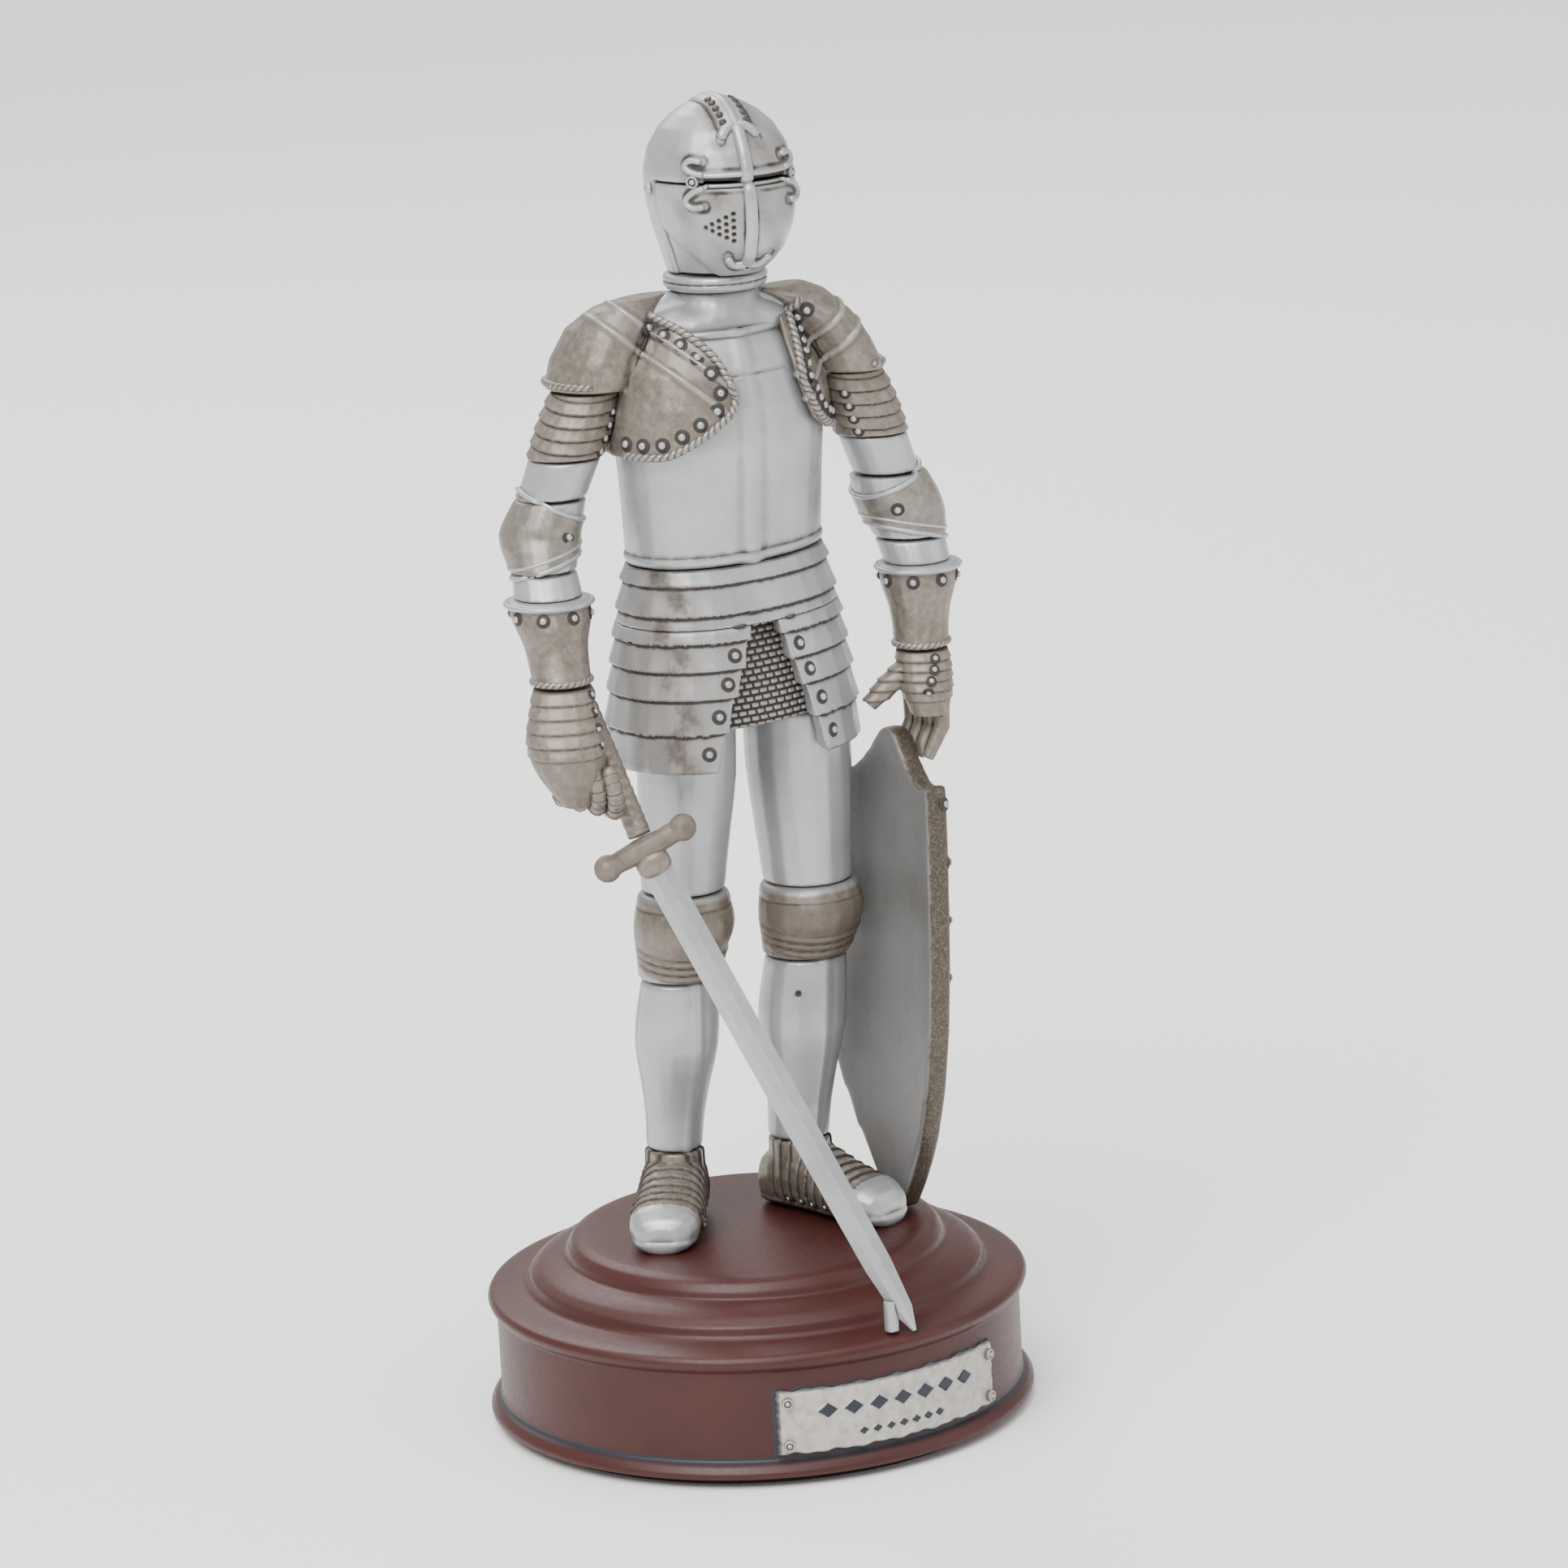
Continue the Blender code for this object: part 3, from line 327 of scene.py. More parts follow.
def lames(value, seams, height):
    """Overlapping plates: each stands proud at its lower seam.  Gives the relief and the seams' wash."""
    seams = np.sort(np.asarray(seams))
    relief = np.zeros_like(value)
    wash = np.zeros_like(value)
    for low, high in zip(seams, seams[1:]):
        inside = (value >= low) & (value < high)
        relief[inside] = height * (1 - (value[inside] - low) / (high - low)) ** 1.5
    for seam in seams:
        wash = np.maximum(wash, bump(value, seam - 0.12, 0.24))
    return relief, wash


def patchy(points, scale=0.5, start=0.0):
    """A smooth, uneven value from 0 to 1 over space, for paint that has worn or gathered."""
    x, y, z = points.T * scale
    wave = np.sin(1.7 * x + 0.9 * z + start)
    wave += np.sin(1.3 * y - 1.1 * z + 2.1 * start + 1.0)
    wave += np.sin(0.8 * x + 2.3 * y + 0.5 * z + 2.0)
    return 0.5 + wave / 6


class Skin:
    """The surface of one or more finished meshes, for laying trim on it."""

    def __init__(self, *meshes):
        points, faces = [], []
        for mesh in meshes:
            offset = len(points)
            points += [v.co / MM for v in mesh.vertices]
            faces += [[v + offset for v in polygon.vertices] for polygon in mesh.polygons]
        self.tree = BVHTree.FromPolygons(points, faces)

    def cast(self, start, direction):
        place, normal, _, _ = self.tree.ray_cast(start, direction)
        if place is None:
            place, normal, _, _ = self.tree.find_nearest(start + direction * 30)
        return place, normal

    def front(self, facing, across, height):
        """The point seen from straight ahead of the facing."""
        return self.cast(facing.place(across, 60, height), facing.outward(math.pi))

    def round(self, facing, angle, height):
        """The outermost point at an angle about the facing's axis."""
        out = facing.outward(angle)
        return self.cast(facing.place(0, 0, height) + out * 40, -out)


# ---- paths and trim

FINE_STEP = 0.16
FLAT_STEP = 0.3
OUTLINE_STEP = 1 / 3
RING_STEPS = 72


def lengths_along(points):
    return np.concatenate([[0], np.cumsum(np.linalg.norm(np.diff(points, axis=0), axis=1))])


def interpolate(places, given, rows):
    return np.stack([np.interp(places, given, rows[:, k]) for k in range(3)], axis=1)


def resample(points, step):
    """Even points along a line, and how far along it each one is."""
    points = np.array([tuple(p) for p in points])
    lengths = lengths_along(points)
    count = max(3, int(round(lengths[-1] / step)))
    places = np.linspace(0, lengths[-1], count + 1)
    return interpolate(places, lengths, points), places


def spline(points, steps=8):
    """A smooth curve through points."""
    points = [np.array(p, dtype=float) for p in points]
    result = []
    for i in range(len(points) - 1):
        a = points[max(i - 1, 0)]
        b = points[i]
        c = points[i + 1]
        d = points[min(i + 2, len(points) - 1)]
        bend = 2 * a - 5 * b + 4 * c - d
        twist = 3 * b - a - 3 * c + d
        for k in range(steps):
            t = k / steps
            result.append(0.5 * (2 * b + (c - a) * t + bend * t**2 + twist * t**3))
    result.append(points[-1])
    return result


def flat_curve(points, step=FLAT_STEP):
    """Even points along a smooth curve through points in the plane."""
    return resample([(a, h, 0) for a, h in spline(points)], step)[0][:, :2]


def smooth_row(points, closed, rounds=3):
    for _ in range(rounds):
        eased = (np.roll(points, 1, axis=0) + points * 2 + np.roll(points, -1, axis=0)) / 4
        if not closed:
            eased[0] = points[0]
            eased[-1] = points[-1]
        points = eased
    return points


def rope_section(places, turn, strands, pitch, step):
    """The radius and the wash of a twisted rope, at each place along it and turn round it."""
    total = places[-1] + step
    twists = max(1, round(total / pitch)) / total
    phase = strands * turn[None, :] + 2 * math.pi * twists * strands * places[:, None]
    lobe = np.abs(np.cos(phase / 2))
    return 0.74 + 0.26 * lobe, 1 - rise(lobe, 0.15, 0.55)


def ringed_section(places, turn, rings):
    """The radius and the wash of a bar with a raised ring at every multiple of a length."""
    part = ((places / rings) % 1.0)[:, None]
    around = np.zeros_like(turn)[None, :]
    return 1 + 0.14 * (1 - part) ** 2 - 0.04 + around, (part > 0.86) * 0.8 + around


def sweep(name, path, width, height, strands=0, pitch=2.2, tone=0.0, wash=0.0, closed=False,
          step=FINE_STEP, rings=0):
    """A bar along (point, normal) pairs: plain, ringed, or a rope when it has strands."""
    points, places = resample([p for p, _ in path], step)
    given = np.array([tuple(n) for _, n in path])
    normals = interpolate(np.linspace(0, 1, len(points)), np.linspace(0, 1, len(given)), given)
    if closed:
        points, normals, places = points[:-1], normals[:-1], places[:-1]
    points = smooth_row(points, closed)
    if closed:
        along = np.roll(points, -1, axis=0) - np.roll(points, 1, axis=0)
    else:
        along = np.gradient(points, axis=0)
    along /= np.linalg.norm(along, axis=1)[:, None]
    side = np.cross(along, normals)
    side /= np.linalg.norm(side, axis=1)[:, None]
    out = np.cross(side, along)
    segments = 16 if strands else 12
    turn = np.arange(segments) * 2 * math.pi / segments
    radius = np.ones((len(points), segments))
    paint = np.full_like(radius, wash)
    if strands:
        radius, paint = rope_section(places, turn, strands, pitch, step)
    elif rings:
        radius, paint = ringed_section(places, turn, rings)
    if not closed:
        end = np.minimum(places, places[-1] - places) / max(min(width, height) / 2, 0.01)
        radius = radius * np.sqrt(np.clip(1 - (1 - np.clip(end, 0, 1)) ** 2, 0.02, 1))[:, None]
    grid = (
        points[:, None, :]
        + side[:, None, :] * (radius * np.sin(turn) * width / 2)[:, :, None]
        + out[:, None, :] * (radius * np.cos(turn) * height / 2)[:, :, None]
    )
    mesh = grid_mesh(name, grid, wash=paint, along=closed)
    set_paint(mesh, tone=tone)
    return mesh


RIVET = [  # radius, height and wash of a domed rivet in its dark ring
    (1.14, -0.30, 0.8),
    (1.12, 0.08, 1.1),
    (0.88, 0.10, 1.5),
    (0.62, 0.06, 1.5),
    (0.57, 0.24, 0.9),
    (0.54, 0.40, 0.0),
    (0.43, 0.56, 0.0),
    (0.24, 0.66, 0.0),
    (0.04, 0.68, 0.0),
]
RING_RIVET = [  # a raised ring round a domed middle
    (1.00, -0.30, 0.7),
    (0.97, 0.22, 0.4),
    (0.84, 0.42, 0.0),
    (0.68, 0.40, 0.1),
    (0.60, 0.14, 1.0),
    (0.46, 0.14, 1.0),
    (0.38, 0.40, 0.0),
    (0.04, 0.50, 0.0),
]
HOLE = [  # a dark hole in a shallow rim
    (0.50, -0.20, 0.8),
    (0.46, 0.08, 1.2),
    (0.34, 0.06, 1.6),
    (0.04, 0.05, 1.6),
]
STUD_SEGMENTS = 16


def stud(place, normal, scale=1.0, profile=RIVET):
    """A rivet turned about the surface's normal."""
    out = Vector(normal).normalized()
    side = out.orthogonal().normalized()
    up = out.cross(side)
    angles = np.arange(STUD_SEGMENTS) * 2 * math.pi / STUD_SEGMENTS
    ring = np.outer(np.cos(angles), np.array(side)) + np.outer(np.sin(angles), np.array(up))
    place = Vector(place)
    rows = [np.array(place + out * height * scale) + ring * radius * scale for radius, height, _ in profile]
    washes = [np.full(STUD_SEGMENTS, wash) for _, _, wash in profile]
    return grid_mesh("stud", np.array(rows), wash=np.array(washes))


def limb_stud(skin, line, degrees, height, scale):
    """A rivet on a limb, at an angle about its middle line."""
    return stud(*skin.round(line.facing(height), math.radians(degrees), height), scale)


def ring_path(skin, line, height_at, start=-180, end=180, lift=0.0):
    """(point, normal) pairs round a limb, at heights given for each angle in radians."""
    path = []
    for degrees in np.linspace(start, end, RING_STEPS + 1):
        angle = math.radians(degrees)
        height = height_at(angle)
        facing = line.facing(height)
        place, _ = skin.round(facing, angle, height)
        out = facing.outward(angle)
        path.append((place + out * lift, out))
    return path


def outline_path(skin, facing, outline, lift):
    """An outline given as (across, height), laid on the side of the skin that faces forward.

    It is followed both ways from its middle, and a cast that lands far from the last place is left out.
    """
    flat = flat_curve(outline, OUTLINE_STEP)

    def follow(run):
        path = []
        missed = 0
        for across, height in run:
            place, normal = skin.front(facing, across, height)
            place = place + normal * lift
            if path and (place - path[-1][0]).length > 0.9 + 0.45 * missed:
                missed += 1
            else:
                missed = 0
                path.append((place, normal))
        return path

    half = len(flat) // 2
    return follow(flat[half::-1])[:0:-1] + follow(flat[half:])


def spaced(path, count, inset):
    """Evenly spaced (point, normal) pairs along a path, leaving an inset at each end."""
    points = np.array([tuple(p) for p, _ in path])
    normals = np.array([tuple(n) for _, n in path])
    lengths = lengths_along(points)
    places = np.linspace(inset, lengths[-1] - inset, count)
    rows = zip(interpolate(places, lengths, points), interpolate(places, lengths, normals))
    return [(Vector(point), Vector(normal)) for point, normal in rows]


# ---- materials


def connect(tree, node, values):
    """Links or sets inputs of a node, each given by its name or its number."""
    for key, value in values.items():
        socket = node.inputs[key]
        if isinstance(value, bpy.types.NodeSocket):
            tree.links.new(value, socket)
        else:
            socket.default_value = (*value, 1.0) if isinstance(value, tuple) else value


def add_node(tree, kind, values, **settings):
    node = tree.nodes.new(kind)
    for name, value in settings.items():
        setattr(node, name, value)
    connect(tree, node, values)
    return node


def noise(tree, scale, detail=4.0, roughness=0.55):
    """A noise over the object's own space, with its scale per metre."""
    space = add_node(tree, "ShaderNodeTexCoord", {}).outputs["Object"]
    values = {"Vector": space, "Scale": scale, "Detail": detail, "Roughness": roughness}
    return add_node(tree, "ShaderNodeTexNoise", values).outputs["Fac"]


def ramp(tree, value, low, high, start=0.0, end=1.0):
    """Maps low..high of a value to start..end, and holds the ends."""
    values = {"Value": value, "From Min": low, "From Max": high, "To Min": start, "To Max": end}
    return add_node(tree, "ShaderNodeMapRange", values).outputs["Result"]


def maths(tree, operation, a, b):
    return add_node(tree, "ShaderNodeMath", {0: a, 1: b}, operation=operation).outputs[0]


def mix_colour(tree, share, a, b):
    """A blend of two colours.  The mix node keeps its colours at inputs 6 and 7 and output 2."""
    values = {"Factor": share, 6: a, 7: b}
    return add_node(tree, "ShaderNodeMix", values, data_type="RGBA").outputs[2]


def attribute(tree, name):
    return add_node(tree, "ShaderNodeAttribute", {}, attribute_name=name).outputs["Fac"]


def relief_normal(tree, height, distance, strength):
    values = {"Height": height, "Distance": distance, "Strength": strength}
    return add_node(tree, "ShaderNodeBump", values).outputs["Normal"]


def start_material(name):
    material = bpy.data.materials.new(name)
    material.use_nodes = True
    tree = material.node_tree
    return material, tree, tree.nodes["Principled BSDF"]


SILVER = (0.42, 0.428, 0.442)
SILVER_DULL = (0.335, 0.34, 0.35)
PEWTER = (0.185, 0.158, 0.128)
PEWTER_WORN = (0.285, 0.255, 0.220)
STAIN = (0.120, 0.094, 0.071)
WASH = (0.022, 0.016, 0.012)
SHIELD_FACE = (0.215, 0.210, 0.205)
SHIELD_FACE_DULL = (0.165, 0.160, 0.152)
SHIELD_EDGE = (0.058, 0.044, 0.031)
SHIELD_EDGE_WORN = (0.165, 0.142, 0.115)
BROWN = (0.040, 0.0090, 0.0070)
BROWN_PALE = (0.052, 0.0125, 0.0098)
BROWN_SPECK = (0.024, 0.0065, 0.0055)
BASE_LINE = (0.018, 0.022, 0.030)
PLATE_LIGHT = (0.48, 0.455, 0.415)
PLATE_WORN = (0.31, 0.285, 0.25)
PLATE_INK = (0.016, 0.019, 0.030)
FELT_DARK = (0.012, 0.012, 0.014)
FELT_LIGHT = (0.035, 0.035, 0.038)


def armour_paint(name, tone, metallic, roughness):
    """Metallic paint, stained brown and then dark where wash gathers.  tone adds pewter everywhere."""
    material, tree, shader = start_material(name)
    broad = noise(tree, 90.0, 3.0)
    fine = noise(tree, 900.0, 5.0, 0.65)
    grain = noise(tree, 3800.0, 3.0)
    silver = mix_colour(tree, ramp(tree, broad, 0.40, 0.72), SILVER, SILVER_DULL)
    pewter = mix_colour(tree, ramp(tree, fine, 0.42, 0.74), PEWTER, PEWTER_WORN)
    share = maths(tree, "MAXIMUM", attribute(tree, "tone"), tone)
    paint = mix_colour(tree, share, silver, pewter)
    specks = ramp(tree, fine, 0.70, 0.80, 0.0, 0.30)
    edge = ramp(tree, fine, 0.25, 0.75, 0.70, 1.15)
    gathered = maths(tree, "MULTIPLY", attribute(tree, "wash"), edge)
    covered = maths(tree, "MAXIMUM", gathered, specks)
    stained = mix_colour(tree, ramp(tree, covered, 0.03, 0.55, 0.0, 0.85), paint, STAIN)
    dark = ramp(tree, covered, 0.42, 0.80, 0.0, 0.96)
    matt = ramp(tree, fine, 0.3, 0.7, roughness - 0.05, roughness + 0.10)
    relief = maths(tree, "ADD", grain, maths(tree, "MULTIPLY", fine, 1.5))
    connect(tree, shader, {
        "Base Color": mix_colour(tree, dark, stained, WASH),
        "Roughness": maths(tree, "ADD", matt, maths(tree, "MULTIPLY", covered, 0.30)),
        "Metallic": ramp(tree, covered, 0.1, 0.8, metallic, 0.0),
        "Normal": relief_normal(tree, relief, 0.00006, 0.35),
    })
    return material


def base_paint():
    """Satin red-brown paint.  wash marks the dark line that runs above the foot."""
    material, tree, shader = start_material("base_paint")
    broad = noise(tree, 60.0, 4.0)
    fine = noise(tree, 1400.0, 4.0)
    brown = mix_colour(tree, ramp(tree, broad, 0.35, 0.7), BROWN, BROWN_PALE)
    brown = mix_colour(tree, ramp(tree, fine, 0.70, 0.80, 0.0, 0.35), brown, BROWN_SPECK)
    relief = maths(tree, "ADD", fine, maths(tree, "MULTIPLY", broad, 2.0))
    connect(tree, shader, {
        "Base Color": mix_colour(tree, attribute(tree, "wash"), brown, BASE_LINE),
        "Roughness": ramp(tree, fine, 0.3, 0.7, 0.36, 0.46),
        "Specular IOR Level": 0.34,
        "Normal": relief_normal(tree, relief, 0.00008, 0.25),
    })
    return material


def plate_paint():
    """Light paint on the name plate, its ornament and outline darkened with navy-black."""
    material, tree, shader = start_material("plate_paint")
    fine = noise(tree, 700.0, 5.0)
    light = mix_colour(tree, ramp(tree, fine, 0.35, 0.75), PLATE_LIGHT, PLATE_WORN)
    connect(tree, shader, {
        "Base Color": mix_colour(tree, attribute(tree, "wash"), light, PLATE_INK),
        "Roughness": ramp(tree, fine, 0.3, 0.7, 0.42, 0.60),
        "Metallic": 0.15,
        "Normal": relief_normal(tree, fine, 0.0001, 0.4),
    })
    return material


def shield_paint():
    """Silver faces; tone marks the worn brown edge, which is speckled."""
    material, tree, shader = start_material("shield_paint")
    broad = noise(tree, 70.0, 3.0)
    fine = noise(tree, 1100.0, 5.0, 0.7)
    face = mix_colour(tree, ramp(tree, broad, 0.4, 0.75), SHIELD_FACE, SHIELD_FACE_DULL)
    speckle = noise(tree, 2600.0, 4.0, 0.7)
    edge = mix_colour(tree, ramp(tree, speckle, 0.45, 0.75), SHIELD_EDGE, SHIELD_EDGE_WORN)
    paint = mix_colour(tree, attribute(tree, "tone"), face, edge)
    dark = maths(tree, "MULTIPLY", attribute(tree, "wash"), 0.9)
    connect(tree, shader, {
        "Base Color": mix_colour(tree, dark, paint, WASH),
        "Roughness": ramp(tree, fine, 0.3, 0.7, 0.36, 0.50),
        "Metallic": 0.45,
        "Normal": relief_normal(tree, maths(tree, "ADD", fine, broad), 0.00010, 0.40),
    })
    return material


def felt_paint():
    material, tree, shader = start_material("felt")
    fibres = noise(tree, 2500.0, 6.0)
    connect(tree, shader, {
        "Base Color": mix_colour(tree, fibres, FELT_DARK, FELT_LIGHT),
        "Roughness": 0.95,
        "Normal": relief_normal(tree, fibres, 0.0003, 0.8),
    })
    return material


SILVER_PAINT = armour_paint("silver_paint", tone=0.0, metallic=0.55, roughness=0.34)
PEWTER_PAINT = armour_paint("pewter_paint", tone=1.0, metallic=0.45, roughness=0.42)
BASE_PAINT = base_paint()
PLATE_PAINT = plate_paint()
SHIELD_PAINT = shield_paint()
FELT_PAINT = felt_paint()
PAINTS = {"silver_paint": SILVER_PAINT, "pewter_paint": PEWTER_PAINT, "plate_paint": PLATE_PAINT}
SLOT_OF = {entry["node"]: entry["material_slot"] for entry in frame["record"]["subparts"]}
MESHING = {  # node, less its side: voxel size, and the rounds of smoothing that remove the facets
    "helmet_skull": (0.22, 24),
    "visor": (0.17, 30),
    "visor_pivot": (0.12, 6),
    "cuirass": (0.34, 26),
    "gorget": (0.24, 12),
    "collar_ring": (0.20, 8),
    "pauldron": (0.26, 14),
    "arm_lames": (0.20, 10),
    "elbow_cop": (0.24, 16),
    "upper_arm": (0.30, 14),
    "forearm": (0.24, 10),
    "gauntlet_cuff": (0.24, 12),
    "hand": (0.20, 8),
    "fauld": (0.26, 8),
    "tasset": (0.24, 8),
    "mail_skirt": (0.35, 10),
    "thigh": (0.34, 20),
    "knee_cop": (0.26, 16),
    "greave": (0.28, 22),
    "sabaton": (0.24, 10),
    "sword_guard": (0.18, 6),
    "sword_pommel": (0.20, 6),
    "sword_grip": (0.16, 4),
    "tip_rest": (0.16, 3),
    "shield_board": (0.34, 40),
}


def plain(points):
    return np.zeros(len(points)), None, 0.0


def dress(node, relief=plain, material=None, filled=None):
    """Replaces a CAD node by its fine mesh.  relief(points) gives height, wash and tone arrays."""
    side, _, rest = node.partition("_")
    mesh = fine_mesh(node, *MESHING[rest if side in ("right", "left", "rear") else node])
    if filled:
        fill_hollows(mesh, filled(mesh_arrays(mesh)[0]))
    carve(mesh, *relief(mesh_arrays(mesh)[0]))
    slot = SLOT_OF[node]
    add_piece(f"{node}_fine", mesh, material or PAINTS[slot], nodes=(node,))
    return mesh


def trim(name, meshes, slot="silver_paint"):
    """One piece made from several small meshes."""
    return add_piece(name, join_meshes(name, meshes), PAINTS[slot])


# ---- base and name plate


BASE_SEGMENTS = 256
BASE_LINE_HEIGHT = 4.0


def make_base():
    """The plinth, turned again in fine steps from its own outline."""
    low, high = box_mm("base_plinth")
    skin = Skin(node_mesh("base_plinth"))
    axis = Facing(0, 0, 0)
    heights = np.arange(low.z + 0.15, high.z, 0.12)
    radii = np.array([math.hypot(*skin.round(axis, math.pi / 2, h)[0].xy) for h in heights])
    radii = smooth_row(radii, closed=False, rounds=4)
    top = radii[-1]
    rows = [(radii[0] - 0.4, low.z + 0.02), *zip(radii, heights)]
    rows += [(top - 0.5, high.z - 0.01), (top * 0.9, high.z), (top * 0.5, high.z), (0.05, high.z)]
    radius, height = np.array(rows)[::-1].T[:, :, None]
    angles = np.arange(BASE_SEGMENTS) * 2 * math.pi / BASE_SEGMENTS
    grid = np.stack([radius * np.cos(angles), radius * np.sin(angles), height + 0 * angles], axis=-1)
    mesh = grid_mesh("base_plinth_fine", grid, wash=bump(grid[..., 2], BASE_LINE_HEIGHT, 0.42))
    add_piece("base_plinth_fine", mesh, BASE_PAINT, nodes=("base_plinth",))


def plate_outline(share):
    """How far the plate's wavy edge stands in from its box, for a share of the way along it."""
    return 0.16 * np.sin(share * 23.0) + 0.12 * np.sin(share * 51.0 + 1.0)


def curved_panel(name, radius, thickness, half_angle, low, high, waviness,
                 steps=(160, 60), relief=None, ink=None):
    """A thin panel bent round the base's wall, with wavy edges and an eased rim.

    relief takes the distance along the wall and the height, ink the share of the width and the height.
    """
    share, up = np.meshgrid(np.linspace(-1, 1, steps[0]), np.linspace(0, 1, steps[1]))
    bend = np.sign(share) * np.abs(share) ** 6 * plate_outline(up) * waviness * 0.012
    angle = share * half_angle + bend
    height = low + (high - low) * up
    height += plate_outline(share * 0.8 + 2.0) * waviness * (up - 0.5) * 2
    edge = np.minimum((1 - np.abs(share)) * half_angle * radius, np.minimum(up, 1 - up) * (high - low))
    out = radius + thickness * np.sqrt(rise(edge, -0.12, 0.5))
    if relief:
        out = out + relief(share * half_angle * radius, height)
    inner = radius - 0.1
    front = np.stack([out * np.sin(angle), -out * np.cos(angle), height], axis=-1)
    back = np.stack([inner * np.sin(angle), -inner * np.cos(angle), height], axis=-1)
    mesh = sheet_mesh(name, front, back)
    covered = np.ones(share.size)
    set_paint(mesh, wash=np.concatenate([ink(share, height).reshape(-1) if ink else covered, covered]))
    return mesh


ORNAMENT_ROWS = (  # lozenges: height from the plate's middle, size, spacing and reach
    (1.5, 1.15, 4.0, 12.2),
    (-2.4, 0.62, 2.2, 8.0),
)
ORNAMENT_RELIEF = 0.16


def make_name_plate():
    """A blank plate with a dark outline and, where a title would go, a plain ornament."""
    low, high = box_mm("name_plate")
    radius = -low.y
    half_angle = math.asin(high.x / radius)
    wall = radius - 1.2
    middle = (low.z + high.z) / 2
    half_height = (high.z - low.z) / 2

    def ornament(along, height):
        """1 on the lozenges, 0 elsewhere."""
        marked = np.zeros_like(along)
        for row, size, step, reach in ORNAMENT_ROWS:
            nearest = np.round(along / step) * step
            lozenge = np.abs(along - nearest) / size / 1.35 + np.abs(height - (middle + row)) / size
            marked = np.maximum(marked, (np.abs(nearest) < reach) & (lozenge < 1))
        return marked

    def relief(along, height):
        return ornament(along, height) * ORNAMENT_RELIEF

    def ink(share, height):
        edge = np.minimum((1 - np.abs(share)) * half_angle * wall, half_height - np.abs(height - middle))
        return np.maximum(ornament(share * half_angle * wall, height), 0.8 * (1 - rise(edge, 0.3, 0.75)))

    bottom = middle - half_height + 0.35
    top = middle + half_height - 0.35
    inset = half_angle - 0.012
    mesh = curved_panel("name_plate_fine", wall, 0.95, inset, bottom, top, 1.0, (420, 150), relief, ink)
    add_piece("name_plate_fine", mesh, PLATE_PAINT, nodes=("name_plate",))
    reach = half_angle + 0.008
    shadow = curved_panel("plate_outline", wall - 0.25, 0.32, reach, low.z - 0.15, high.z + 0.15, 1.4)
    add_piece("plate_outline", shadow, PLATE_PAINT)
    for number in range(1, 5):
        node = f"plate_rivet_{number}"
        place = box_middle(node)
        out = Vector((place.x, place.y, 0)).normalized()
        mesh = stud(place - out * 0.35, out, 0.86, RING_RIVET)
        add_piece(f"{node}_fine", mesh, PLATE_PAINT, nodes=(node,))


# ---- helmet


STRAP = [  # half of the cross: bar width and points as (distance round, height above the eye slit)
    (1.9, [(0, 7.6), (0, -12.6)]),
    (0.8, [(0, 0.95), (6.4, 0.95)]),
    (0.8, [(0, -0.95), (6.4, -0.95)]),
    (0.95, [(6.2, 0.95), (8.0, 1.3), (9.2, 2.2), (8.3, 3.0), (6.4, 2.8)]),
    (0.95, [(6.2, -0.95), (7.8, -1.5), (9.1, -2.8), (8.1, -3.8), (6.2, -3.6)]),
    (1.5, [(0, 7.5), (1.4, 7.4), (2.6, 6.8), (3.3, 5.8)]),
    (1.3, [(0, -12.4), (1.6, -12.7), (2.7, -12.3), (3.2, -11.3)]),
]


PIVOTS = ((-7.9, 0.0, 1.0), (7.9, 0.0, 1.0), (0.0, -12.6, 0.95))  # place on the strap and scale of its rivets
SLIT_REACH = 6.4
SLIT_HALF = 1.05
COMB_ANGLES = (-58, 44)  # degrees ahead of the crown
COMB_HOLES = (9, 38)
HOLE_PITCH = 1.03
HOLE_COLUMNS = 5


